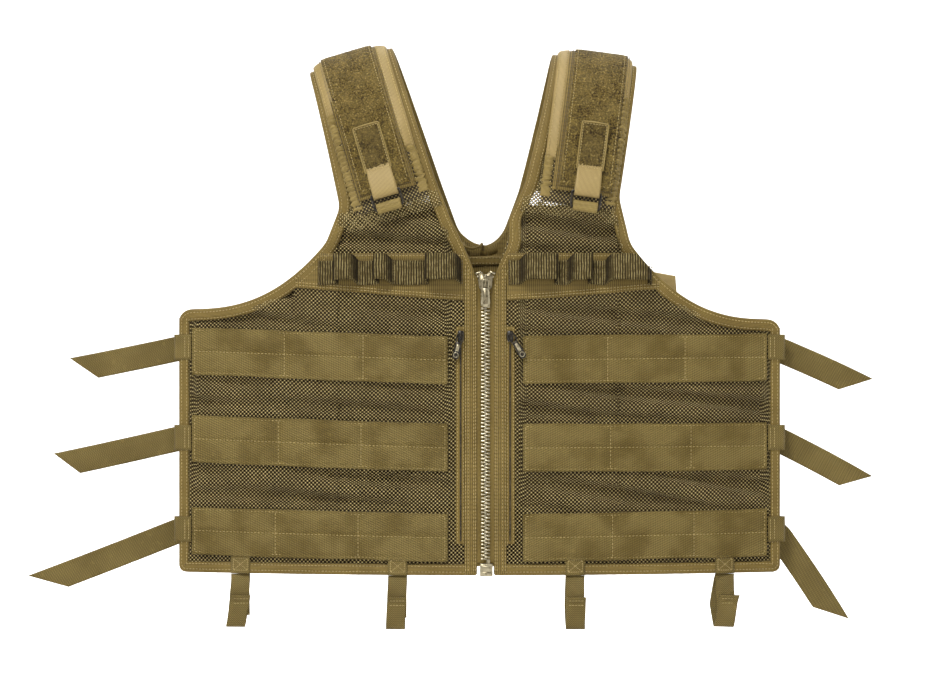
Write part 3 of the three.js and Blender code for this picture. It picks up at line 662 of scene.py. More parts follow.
class Cloth:
    """Gathers the vertices, faces and cloth coordinates of one piece, in millimetres."""

    def __init__(self) -> None:
        """Start with nothing."""
        self._points: list[Array] = []
        self._weave: list[Array] = []
        self._faces: list[tuple[int, ...]] = []
        self._slots: list[int] = []
        self._count = 0

    def add(self, points: Array, faces: Sequence[Sequence[int]], weave: Array, slot: int = 0) -> None:
        """Add vertices and faces.

        Args:
            points: N by 3 places, in millimetres, heights from the hem.
            faces: Vertex numbers within these points.
            weave: N by 2 cloth coordinates in millimetres.
            slot: Which of the piece's materials they take.
        """
        start = self._count
        self._points.append(np.asarray(points, float))
        self._weave.append(np.asarray(weave, float))
        self._faces.extend(tuple(int(i) + start for i in face) for face in faces)
        self._slots.extend([slot] * len(faces))
        self._count += len(points)

    def slab(self, outer: Array, inner: Array, weave: Array, slot: int = 0) -> None:
        """Add a closed sheet between two grids of points.

        Args:
            outer: Rows by columns by 3 points of the outer face.
            inner: The same for the inner face.
            weave: Rows by columns by 2 cloth coordinates.
            slot: Which material it takes.
        """
        rows, columns = outer.shape[:2]
        number = np.arange(rows * columns).reshape(rows, columns)
        low = rows * columns
        a, b = number[:-1, :-1].ravel(), number[1:, :-1].ravel()
        c, d = number[1:, 1:].ravel(), number[:-1, 1:].ravel()
        faces = np.vstack([np.column_stack([a, b, c, d]), np.column_stack([d, c, b, a]) + low])
        rim = np.concatenate([number[:, 0], number[-1, 1:], number[-2::-1, -1], number[0, -2:0:-1]])
        following = np.roll(rim, -1)
        edges = np.column_stack([following, rim, rim + low, following + low])
        points = np.vstack([outer.reshape(-1, 3), inner.reshape(-1, 3)])
        coordinates = np.vstack([weave.reshape(-1, 2)] * 2)
        self.add(points, np.vstack([faces, edges]).tolist(), coordinates, slot)

    def sweep(
        self, places: Array, first: Array, second: Array, profile: Array, slot: int = 0,
        closed: bool = False,
    ) -> None:
        """Add a closed profile carried along a line.

        Args:
            places: The line's points.
            first: The profile's first axis at each point.
            second: Its second axis at each point.
            profile: K by 2 corners, or one such set for each point.
            slot: Which material it takes.
            closed: True if the line's end meets its start.
        """
        shapes = np.broadcast_to(profile, (len(places), *np.shape(profile)[-2:]))
        ring = shapes.shape[1]
        points = places[:, None] + first[:, None] * shapes[..., :1] + second[:, None] * shapes[..., 1:]
        around = along_of(np.vstack([shapes[0], shapes[0][:1]]))[:-1]
        length = along_of(places)
        weave = np.stack(np.broadcast_arrays(around[None, :], length[:, None]), -1)
        number = np.arange(len(places) * ring).reshape(len(places), ring)
        rows = number if not closed else np.vstack([number, number[:1]])
        a, b = rows[:-1], rows[1:]
        quads = np.stack([a, np.roll(a, -1, 1), np.roll(b, -1, 1), b], -1).reshape(-1, 4)
        faces = quads.tolist()
        if not closed:
            faces += [number[0][::-1].tolist(), number[-1].tolist()]
        self.add(points.reshape(-1, 3), faces, weave.reshape(-1, 2), slot)

    def stitches(
        self, line: Array, normal: Array, pitch: float = 3.4, length: float = 2.5, width: float = 0.75,
        rise: float = 0.42, slot: int = 0,
    ) -> None:
        """Add a row of stitches along a line on the cloth.

        Args:
            line: The row's points.
            normal: The cloth's outward direction, one or one for each point.
            pitch: From stitch to stitch.
            length: A stitch's length.
            width: A stitch's width.
            rise: How far its middle stands off the cloth.
            slot: Which material it takes.
        """
        normals = np.broadcast_to(normal, line.shape)
        both = resample(np.hstack([line, normals]), pitch)
        centres = (both[1:, :3] + both[:-1, :3]) / 2
        run = unit(both[1:, :3] - both[:-1, :3])
        out = unit(both[1:, 3:] + both[:-1, 3:])
        side = np.cross(run, out)
        stations = [
            (-0.5, 0.35, -0.25), (-0.28, 0.9, 0.75), (0.0, 1.0, 1.0), (0.28, 0.9, 0.75),
            (0.5, 0.35, -0.25),
        ]
        corners = [(1.0, -0.3), (0.6, 1.0), (-0.6, 1.0), (-1.0, -0.3)]
        rings = []
        for place, wide, high in stations:
            base = centres + run * (place * length)
            for across, up in corners:
                lift = rise * high if up > 0 else -0.25
                rings.append(base + side * (across * wide * width / 2) + out * lift)
        count, size = len(centres), len(rings)
        points = np.stack(rings, 1)
        one = []
        for s in range(len(stations) - 1):
            for k in range(4):
                one.append([4 * s + k, 4 * s + (k + 1) % 4, 4 * s + 4 + (k + 1) % 4, 4 * s + 4 + k])
        one += [[3, 2, 1, 0], [size - 4, size - 3, size - 2, size - 1]]
        faces = (np.array(one)[None] + size * np.arange(count)[:, None, None]).reshape(-1, 4)
        weave = np.broadcast_to(points[:, :, :1], (count, size, 1))
        weave = np.concatenate([weave, points[:, :, 2:]], -1)
        self.add(points.reshape(-1, 3), faces.tolist(), weave.reshape(-1, 2), slot)

    def build(self, name: str, *materials: bpy.types.Material) -> bpy.types.Object:
        """Make the Blender object.

        Args:
            name: The piece's name.
            *materials: Its materials, in slot order.

        Returns:
            The new object, in the frame's metres.
        """
        points = np.vstack(self._points)
        points = (points - np.array([0.0, 0.0, HANGER_HEIGHT])) * MM
        mesh = bpy.data.meshes.new(name)
        mesh.from_pydata(points.tolist(), [], self._faces)
        mesh.polygons.foreach_set("material_index", np.array(self._slots, np.int32))
        weave = np.vstack(self._weave) * MM
        coordinates = np.column_stack([weave, np.zeros(len(weave))]).astype(np.float32)
        mesh.attributes.new(WEAVE, "FLOAT_VECTOR", "POINT").data.foreach_set("vector", coordinates.ravel())
        shape = bmesh.new()
        shape.from_mesh(mesh)
        bmesh.ops.recalc_face_normals(shape, faces=shape.faces)
        shape.to_mesh(mesh)
        shape.free()
        mesh.polygons.foreach_set("use_smooth", np.full(len(mesh.polygons), True))
        for material in materials:
            mesh.materials.append(material)
        mesh.update()
        piece = bpy.data.objects.new(name, mesh)
        bpy.context.scene.collection.objects.link(piece)
        return piece


def crease(
    piece: bpy.types.Object, width_mm: float = 0.3, segments: int = 2, angle: float = 40.0
) -> bpy.types.Object:
    """Round a hard piece's edges.

    Args:
        piece: The piece.
        width_mm: The round's width.
        segments: How many faces the round has.
        angle: Edges sharper than this are rounded, in degrees.

    Returns:
        The same piece.
    """
    rounder = piece.modifiers.new("rounded_edges", "BEVEL")
    rounder.width = width_mm * MM
    rounder.segments = segments
    rounder.limit_method = "ANGLE"
    rounder.angle_limit = math.radians(angle)
    rounder.harden_normals = False
    return piece


# ---------- the body's surface ----------
@dataclass(frozen=True)
class Half:
    """One half of the vest, in millimetres.

    Attributes:
        side: Which half it is.
        half: From the zip to the front's side edge.
        side_top: The height of the side edge's top.
        neck: From the zip to the top of the neckline.
        shoulder: From the zip to the top of the armhole.
        lean: How far the shoulder leans outward, in degrees.
        foot: From the zip to the middle of the shoulder pad's front foot.
        skew: How far the shoulder's back foot stands in from its front foot.
        pad_inner: The pad's inner edge, at its foot and at the top.
        pad_outer: The pad's outer edge, at its foot and at the top.
    """

    side: Side
    half: float
    side_top: float
    neck: float
    shoulder: float
    lean: float
    foot: float
    skew: float
    pad_inner: tuple[float, float]
    pad_outer: tuple[float, float]

    @property
    def label(self) -> str:
        """The side's name in node names."""
        return self.side.name.lower()

    @property
    def sign(self) -> int:
        """The sign of its x."""
        return self.side.value

    def armhole(self, out: float, inset: float) -> float:
        """The armhole's height at a distance from the zip.

        Args:
            out: The distance from the zip.
            inset: How much narrower the panel is.

        Returns:
            The height above the hem.
        """
        end = self.half - inset - 12
        share = min(1.0, max(0.0, (end - out) / (end - self.shoulder)))
        return self.side_top + (338 - self.side_top) * share**2.5

    def over(self, u: Array | float, turn: Array | float, w: Array | float) -> Array:
        """A point over the shoulder.

        Args:
            u: Across the strap, outward.
            turn: 0 at the front foot, 90 over the top and 180 at the back foot.
            w: Outward from the shoulder's own curve.

        Returns:
            The points, in millimetres.
        """
        u, turn, w = np.broadcast_arrays(*(np.asarray(v, float) for v in (u, turn, w)))
        lean, angle = math.radians(self.lean), np.radians(turn)
        along = (200 / math.cos(lean) - 12.4 + w) * np.sin(angle)
        foot = self.foot - self.skew * np.maximum(0, -np.cos(angle))
        x = self.sign * (foot + u * math.cos(lean) + along * math.sin(lean))
        z = 318 + along * math.cos(lean) - u * math.sin(lean)
        bow = 1 - (x / self.half) ** 2
        depth = np.where(turn < 90, -(16 + 44 * bow), 20 + 36 * bow)
        y = depth * np.abs(np.cos(angle)) - w * np.cos(angle)
        return np.stack([x, y, z], -1)

    def edges(self, turn: Array) -> tuple[Array, Array]:
        """The pad's inner and outer edge at each turn.

        Args:
            turn: The turns.

        Returns:
            The inner and the outer edge.
        """
        low = (1 - np.sin(np.radians(turn))) ** 1.5
        return tuple(top + (foot - top) * low for foot, top in (self.pad_inner, self.pad_outer))


LEFT = Half(Side.LEFT, 304, 260, 44, 146, 16.5, 80, 6, (-51, -45), (53, 40))
RIGHT = Half(Side.RIGHT, 293, 250, 33, 132, 7.6, 90, 4, (-66, -48), (32, 36))
HALVES = (LEFT, RIGHT)
BACK_INSET = 10.0


def half_of(x: Array) -> Array:
    """The distance from the zip to the side edge on the side of each x."""
    return np.where(np.asarray(x) < 0, LEFT.half, RIGHT.half)


def front(x: Array, h: Array, w: Array | float) -> Array:
    """Points on the front of the body.

    Args:
        x: To the right of the zip.
        h: Above the hem.
        w: Outward from the mesh panel's outer face.

    Returns:
        The points.
    """
    x, h, w = np.broadcast_arrays(*(np.asarray(v, float) for v in (x, h, w)))
    return np.stack([x, -(16 + 44 * (1 - (x / half_of(x)) ** 2)) - w, h], -1)


def back(x: Array, h: Array, w: Array | float) -> Array:
    """Points on the back of the body, as front() gives them."""
    x, h, w = np.broadcast_arrays(*(np.asarray(v, float) for v in (x, h, w)))
    return np.stack([x, 20 + 36 * (1 - (x / half_of(x)) ** 2) + w, h], -1)


def facing_out(surface: Surface, x: Array, h: Array) -> Array:
    """The surface's outward direction at each point.

    Args:
        surface: front or back.
        x: To the right of the zip.
        h: Above the hem.

    Returns:
        Directions of length one.
    """
    step = surface(np.asarray(x) + 0.5, h, 0) - surface(np.asarray(x) - 0.5, h, 0)
    run = unit(step)
    way = -1.0 if surface is front else 1.0
    return unit(np.stack([-way * run[..., 1], way * run[..., 0], np.zeros(run.shape[:-1])], -1))


@dataclass(frozen=True)
class Folds:
    """Long soft folds of a hanging net, deeper inward than outward.

    Attributes:
        seed: Which random folds they are.
        inward: The deepest fold, in millimetres.
        outward: The highest swell.
    """

    seed: int
    inward: float = 6.2
    outward: float = 3.6

    def at(self, x: Array, h: Array) -> Array:
        """How far the net stands out.

        Args:
            x: To the right of the zip.
            h: Above the hem.

        Returns:
            The distance at each place, negative for inward.
        """
        generator = np.random.default_rng(self.seed)
        total = np.zeros(x.shape)
        for _ in range(9):
            spans = ((55, 150), (28, 60), (0, 6.3), (-0.5, 0.5))
            long, tall, shift, lean = (generator.uniform(*span) for span in spans)
            turns = x / (long * 2.2) + h / (tall * 0.8) + 0.12 * lean * x / tall
            total += np.sin(2 * np.pi * turns + shift)
        total /= 1.9
        return np.where(total > 0, np.tanh(total) * self.outward, np.tanh(total) * self.inward)


def sew(cloth: Cloth, surface: Surface, x: Array | float, h: Array, w: float, **style: float) -> None:
    """Sew a row of stitches on the body.

    Args:
        cloth: The piece it is added to.
        surface: front or back.
        x: To the right of the zip, one or one for each height.
        h: Above the hem.
        w: Outward from the mesh panel's outer face.
        **style: Settings of Cloth.stitches; the slot is 1 unless it is given.
    """
    x = np.broadcast_to(np.asarray(x, float), h.shape)
    cloth.stitches(surface(x, h, w), facing_out(surface, x, h), **{"slot": 1, **style})


ROWS = {
    Row.TOP: (210.0, {Side.LEFT: 9.0, Side.RIGHT: 3.0}),
    Row.MIDDLE: (124.0, {Side.LEFT: 8.0, Side.RIGHT: 1.0}),
    Row.BOTTOM: (36.0, {Side.LEFT: 5.0, Side.RIGHT: 3.0}),
}
ROW_TALL = 47.0
ROW_INNER = 37.0
ROW_MARGIN = 13.0
STRAP_HEIGHTS = {Row.TOP: 223.0, Row.MIDDLE: 133.0, Row.BOTTOM: 42.0}
STRAP_WIDE = 25.0
CHEST_BAND = (268.0, 315.0)


def row_centre(half: Half, row: Row, out: Array) -> Array:
    """The height of a webbing row's middle line at each distance from the zip.

    Args:
        half: Which half.
        row: Which row.
        out: Distances from the zip.

    Returns:
        The heights above the hem.
    """
    height, rise = ROWS[row]
    outer = half.half - ROW_MARGIN
    return height + rise[half.side] * (np.asarray(out) - ROW_INNER) / (outer - ROW_INNER)


def place(piece: bpy.types.Object, body: str, material_slot: str, *nodes: str) -> bpy.types.Object:
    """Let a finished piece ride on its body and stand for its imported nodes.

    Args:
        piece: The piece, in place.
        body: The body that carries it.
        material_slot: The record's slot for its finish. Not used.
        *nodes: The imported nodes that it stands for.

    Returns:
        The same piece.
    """
    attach(piece, body)
    if nodes:
        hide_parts(*nodes)
    LOG.info("%s: %d faces on %s", piece.name, len(piece.data.polygons), body)
    return piece


def u_profile(wide: float = 11.0, thick: float = 0.9, cloth: float = 3.0) -> Array:
    """A tape folded over an edge: inward from the edge, then outward from the cloth.

    Args:
        wide: How far the tape reaches in.
        thick: Its thickness.
        cloth: The cloth inside it.

    Returns:
        The profile's corners.
    """
    low = -cloth - 0.1
    return np.array([
        (wide, 0.1), (wide, thick), (wide * 0.5, thick + 0.15), (0.8, thick), (-0.5, 0.3), (-0.9, -cloth / 2),
        (-0.5, low), (0.8, low - thick), (wide * 0.5, low - thick), (wide, low - thick + 0.1), (wide, low),
        (1.0, low), (0.3, -cloth / 2), (1.0, 0.1),
    ])


def add_binding(
    cloth: Cloth,
    line: Array,
    inward: Array,
    normal: Array,
    wide: float = 11.0,
    gather: float = 0.0,
    seed: int = 1,
    thread: int = 1,
    cloth_thick: float = 3.0,
) -> None:
    """Fold a tape over an edge and sew it down with two rows of stitches.

    Args:
        cloth: The piece it is added to.
        line: Points along the edge.
        inward: The direction into the cloth at each point.
        normal: The cloth's outward direction at each point.
        wide: How far the tape reaches in.
        gather: How strongly it is gathered, in millimetres.
        seed: Which random gathers it has.
        thread: The piece's material slot for thread.
        cloth_thick: The cloth inside the tape.
    """
    length = along_of(line)
    soft = smooth_noise(seed, length, 14.0) * 0.35 + smooth_noise(seed + 1, length, 5.0) * 0.2
    pucker = gather * (np.sin(length * 2 * np.pi / 6.2 + 2 * smooth_noise(seed + 2, length, 11.0)) * 0.6)
    pucker += gather * 0.7 * smooth_noise(seed + 3, length, 4.0)
    profile = np.repeat(u_profile(wide, cloth=cloth_thick)[None], len(line), 0)
    front_leg = profile[..., 1] > 0.0
    profile[..., 0] += np.where(profile[..., 0] > 2, (soft + 0.4 * pucker)[:, None], 0.3 * pucker[:, None])
    profile[..., 1] += np.where(front_leg, np.maximum(pucker + 0.25 * soft, -0.2)[:, None], 0.0)
    cloth.sweep(line, inward, normal, profile)
    if gather > 0.8:
        return
    for reach in (2.6, wide - 2.0):
        row = line + inward * reach + normal * 1.05
        cloth.stitches(row, normal, slot=thread)


def edge_frame(
    surface: Surface, out_line: Array, side: int, into: Sequence[float]
) -> tuple[Array, Array, Array]:
    """Lay an edge line on a surface.

    Args:
        surface: front or back.
        out_line: N by 2: from the zip, and above the hem.
        side: The sign of x.
        into: A place inside the cloth, to tell which way is inward.

    Returns:
        The points, the directions into the cloth and the outward directions.
    """
    points = surface(side * out_line[:, 0], out_line[:, 1], 0)
    normal = facing_out(surface, side * out_line[:, 0], out_line[:, 1])
    run = unit(np.gradient(points, axis=0))
    inward = unit(np.cross(normal, run))
    target = surface(side * into[0], into[1], 0)
    middle = len(points) // 2
    if np.dot(inward[middle], target - points[middle]) < 0:
        inward = -inward
    return points, inward, normal


@dataclass(frozen=True)
class Panels:
    """The net fronts and back with their bindings, hems and linings."""

    cloths: Wardrobe
    net_step: float = 3.2  # from row to row of the net's mesh
    hem_tape: float = 10.0  # how far the tape reaches in from the hems and sides
    edge_tape: float = 11.0  # the same for the neck and the armholes

    def top(self, half: Half, out: float, inset: float, is_back: bool) -> float:
        """The height of a panel's top edge.

        Args:
            half: Which half.
            out: The distance from the middle.
            inset: How much narrower the panel is.
            is_back: True for the back panel.

        Returns:
            The height above the hem.
        """
        if out < half.neck:
            if is_back:
                return 326 + 40 * (out / half.neck) ** 2
            if out < 12:
                return 298 - 3.5 * (12 - out)
            return 298 + 68 * (out - 12) / (half.neck - 12)
        if out <= half.shoulder - 2:
            return 366.0
        past = max(0.0, out - (half.half - inset - 10)) / 10
        return half.armhole(out, inset) - 10 * (1 - math.sqrt(max(0.0, 1 - past**2)))

    def free(self, half: Half, x: Array, h: Array, is_back: bool) -> Array:
        """How far each place is from where the net is sewn down, in millimetres.

        Args:
            half: Which half.
            x: To the right of the zip.
            h: Above the hem.
            is_back: True for the back panel.

        Returns:
            The distances, none below 0.
        """
        out = np.abs(x)
        if is_back:
            held = [np.abs(h - level) - STRAP_WIDE / 2 for level in STRAP_HEIGHTS.values()]
            held += [h - 8, half.half - BACK_INSET - 10 - out]
        else:
            held = [np.abs(h - row_centre(half, row, out)) - ROW_TALL / 2 for row in Row]
            held = [np.where(out < half.half - ROW_MARGIN, gap, 99.0) for gap in held]
            held += [h - 10, half.half - 9 - out, out - 30]
            band = np.maximum(CHEST_BAND[0] - h, h - CHEST_BAND[1])
            held.append(np.where(out < 190, band, 99.0))
        return np.maximum(np.min(held, axis=0), 0.0)

    def net(self, cloth: Cloth, half: Half, is_back: bool, seed: int) -> None:
        """Add one half's net, between its hem and its top edge.

        Args:
            cloth: The piece it is added to.
            half: Which half.
            is_back: True for the back panel.
            seed: Which random folds it has.
        """
        inset = BACK_INSET if is_back else 0.0
        start = 0.0 if is_back else 8.0
        end = half.half - inset
        corners = [12.0, half.neck, half.shoulder - 2, half.shoulder, end - 5, end - 1.5, end]
        outs = np.unique(np.round(np.concatenate([np.arange(start, end, self.net_step), corners]), 2))
        sign = half.sign
        low = np.maximum(0.0 if is_back else 0.6, outs - end + 6)
        high = np.array([self.top(half, o, inset, is_back) for o in outs]) - 0.6
        share = np.linspace(0, 1, 118)
        h = low[:, None] + (high - low)[:, None] * share
        x = np.broadcast_to(sign * outs[:, None], h.shape)
        moved = Folds(seed).at(x, h)
        gap = self.free(half, x, h, is_back)
        loose = np.clip(gap / 11.0, 0, 1)
        loose = loose * loose * (3 - 2 * loose)
        edge = np.clip((high[:, None] - h) / 16, 0, 1)
        if is_back:
            edge = edge * np.clip((np.abs(x) - 24) / 40, 0, 1)
        w = moved * loose * edge
        surface = back if is_back else front
        outer = surface(x, h, w - 0.2)
        inner = surface(x, h, w - 1.7)
        length = along_of(surface(sign * outs, 0, 0))
        run = np.linalg.norm(np.diff(outer, axis=1), axis=2)
        along = h[:, :1] + np.concatenate([np.zeros((len(outs), 1)), np.cumsum(run, axis=1)], axis=1)
        weave = np.stack([np.broadcast_to(sign * length[:, None], h.shape), along], -1)
        cloth.slab(outer, inner, weave)

    def bindings(self, half: Half) -> Cloth:
        """Tape over the front panel's side edge and hem.

        Args:
            half: Which half.

        Returns:
            The piece, not yet built.
        """
        cloth = Cloth()
        sign = half.sign
        side = np.array([(half.half, h) for h in np.linspace(half.side_top - 8, 8, 70)])
        bend = np.linspace(0.2, 1.5, 5)
        corner = np.column_stack([half.half - 6 + 6 * np.cos(bend), 6 - 6 * np.sin(bend)])
        hem = np.array([(o, 0.0) for o in np.linspace(half.half - 8, 9, 90)])
        lower = resample(np.vstack([side, corner, hem]), 3.2)
        points, inward, normal = edge_frame(front, lower, sign, (60, 120))
        add_binding(cloth, points, inward, normal, wide=self.hem_tape, seed=31 + sign, gather=0.25)
        return cloth

    def long_edges(self, half: Half) -> Cloth:
        """The two tapes that run from the front over the shoulder and down the back.

        Args:
            half: Which half.

        Returns:
            The piece, not yet built.
        """
        cloth = Cloth()
        sign = half.sign
        turns = np.linspace(17, 163, 70)
        rims = half.edges(turns)
        neck = catmull([(9.5, 286), (13, 300), (24, 326), (half.neck - 10, 346)], 8)
        rear_outs = np.linspace(half.neck * 0.62, -4.0 * (sign < 0), 14)
        rear = np.column_stack([rear_outs, 326 + 40 * (rear_outs / half.neck) ** 2])
        round_corner = half.half - 10 + 10 * np.sin(np.linspace(1.57, 0.1, 7))
        arm_outs = np.concatenate([round_corner, np.linspace(half.half - 11, half.shoulder + 10, 50)])
        arm = [(o, self.top(half, min(o, half.half - 0.01), 0, False)) for o in arm_outs]
        end = half.half - BACK_INSET
        rear_outs = np.linspace(half.shoulder + 10, end - 1, 50)
        rear_arm = [(o, self.top(half, o, BACK_INSET, True)) for o in rear_outs]
        tapes = (
            (neck, rims[0], 1, rear, (60, 300), 11),
            (np.array(arm), rims[1], -1, rear_arm, (60, 120), 21),
        )
        for before, rim, way, after, into, seed in tapes:
            line = half.over(rim, turns, 3.1)
            inward = unit(half.over(rim + way * 5.0, turns, 3.1) - line)
            normal = unit(half.over(rim, turns, 6.1) - line)
            parts = [
                np.hstack(edge_frame(front, resample(np.asarray(before, float), 3.0), sign, into)),
                np.hstack([line, inward, normal]),
                np.hstack(edge_frame(back, resample(np.asarray(after, float), 3.0), sign, into)),
            ]
            joined = resample_by(np.vstack(parts), 2.4)
            calm = smooth_rows(joined, 4)
            add_binding(
                cloth,
                calm[:, :3],
                unit(calm[:, 3:6]),
                unit(calm[:, 6:]),
                wide=self.edge_tape,
                seed=seed + sign,
                cloth_thick=2.4,
            )
        return cloth

    def build(self) -> None:
        """Build and dress every panel."""
        cloths = self.cloths
        for number, half in enumerate(HALVES):
            label = half.label
            cloth = Cloth()
            self.net(cloth, half, False, 5 + number)
            net = cloth.build(f"{label}_front_net", cloths.net)
            place(net, ROOT, "mesh", f"{label}_front_panel")
            binding = self.bindings(half).build(f"{label}_front_binding", cloths.tape, cloths.thread)
            place(binding, ROOT, "facing")
            edges = self.long_edges(half).build(f"{label}_long_binding", cloths.tape, cloths.thread)
            place(edges, ROOT, "facing")
            self.lining(half)
        self.back_pieces()

    def lining(self, half: Half) -> None:
        """The pocket bag behind the net, a plain dark cloth that also backs the chest; above the bag it is
        only painted shade, and its near-black colour is painted shade for the inside of the vest.

        Args:
            half: Which half.
        """
        cloth = Cloth()
        sign = half.sign
        outs = np.linspace(9.0, half.half - 3, 56)
        # above the real pocket bag the sheet goes on up the chest only as painted shade behind the net
        high = np.array([min(362.0, self.top(half, o, 0, False) - 4) for o in outs])
        share = np.linspace(0, 1, 60)
        h = 1.5 + (high - 1.5)[:, None] * share
        x = np.broadcast_to(sign * outs[:, None], h.shape)
        sway = 0.8 * np.sin(x / 23) * np.sin(h / 31)
        middle = np.clip((outs - 9) / 20, 0, 1) * np.clip((half.half - 4 - outs) / 20, 0, 1)
        depth = (-2.6 - 6.2 * middle)[:, None] + sway * middle[:, None]
        cloth.slab(front(x, h, depth), front(x, h, depth - 0.8), np.stack([x, h], -1))
        piece = cloth.build(f"{half.label}_pocket_lining", self.cloths.lining)
        place(piece, ROOT, "lining", f"{half.label}_pocket_bag")
        f"{half.label}_front_binding"

    def back_pieces(self) -> None:
        """The back net, its bindings, the neck's yoke band and its hanging loop."""
        cloths = self.cloths
        net = Cloth()
        for number, half in enumerate(HALVES):
            self.net(net, half, True, 15 + number)
        piece = net.build("back_net", cloths.net_close)
        place(piece, ROOT, "mesh", "back_panel")
        cloth = Cloth()
        yoke = Cloth()
        for half in HALVES:
            sign = half.sign
            end = half.half - BACK_INSET
            side = np.array([(end, h) for h in np.linspace(half.side_top - 10, 1, 70)])
            edge = edge_frame(back, resample(side, 3.0), sign, (60, 120))
            add_binding(cloth, *edge, wide=self.hem_tape, seed=51 + sign, gather=0.2)
        hem = np.array([(x, 0.0) for x in np.linspace(-LEFT.half + 11, RIGHT.half - 11, 190)])
        add_binding(cloth, *edge_frame(back, hem, 1, (0, 120)), wide=self.hem_tape, seed=61)
        piece = cloth.build("back_binding", cloths.tape, cloths.thread)
        place(piece, ROOT, "facing")
        outs = np.linspace(-46, 46, 60)
        reach = np.where(outs < 0, LEFT.neck, RIGHT.neck)
        share = np.linspace(0, 1, 24)[None]
        low = (283 + 0.6 * np.sin(outs / 7))[:, None]
        h = low + (324 + 40 * (outs / reach) ** 2)[:, None] * share - low * share
        x = np.broadcast_to(outs[:, None], h.shape)
        w = -3.6 + 0.5 * np.sin(x / 9 + 1) * np.sin(h / 7)
        yoke.slab(back(x, h, w), back(x, h, w + 1.0), np.stack([x, h], -1), 2)
        for level in (286.0, 289.5):
            line = back(outs, np.full(outs.shape, level), -4.2)
            yoke.stitches(line, np.array([0, -1.0, 0]), slot=1)
        outs = np.linspace(-23, 27, 24)
        rows = np.linspace(306.5, 315.8, 5)
        h = rows[None] + 0.4 * np.sin(outs / 9)[:, None]
        x = np.broadcast_to(outs[:, None], h.shape)
        yoke.slab(back(x, h, -5.4), back(x, h, -4.2), np.stack([x, h], -1))
        for level in (308.4, 313.8):
            line = back(outs, np.full(outs.shape, level), -5.5)
            yoke.stitches(line, np.array([0, -1.0, 0]), slot=1)
        loop = catmull([
            (-22, 51, 330), (-20, 46.5, 325.8), (-13, 45.6, 323.6), (-6, 46.2, 325.2), (-2, 51, 329),
        ], 8)
        across = unit(np.cross(np.gradient(loop, axis=0), [0, 1.0, 0]))
        profile = np.array([(-1.4, -0.4), (1.4, -0.4), (1.4, 0.4), (-1.4, 0.4)])
        yoke.sweep(loop, across, np.broadcast_to([0, 1.0, 0], loop.shape), profile)
        place(yoke.build("neck_yoke_band", cloths.tape, cloths.thread, cloths.facing), ROOT, "facing")


ROW_SEAMS = {
    (Side.LEFT, Row.TOP): (120.0, 198.0),
    (Side.LEFT, Row.MIDDLE): (122.0, 204.0),
    (Side.LEFT, Row.BOTTOM): (125.0, 207.0),
    (Side.RIGHT, Row.TOP): (120.0, 197.0),
    (Side.RIGHT, Row.MIDDLE): (123.0, 203.0),
    (Side.RIGHT, Row.BOTTOM): (125.0, 206.0),
}
LOOPS = {
    Side.LEFT: ((24, 56, 13), (91, 105, 10), (125, 145, 12)),
    Side.RIGHT: ((34, 68, 12), (81, 101, 11), (118, 160, 13)),
}


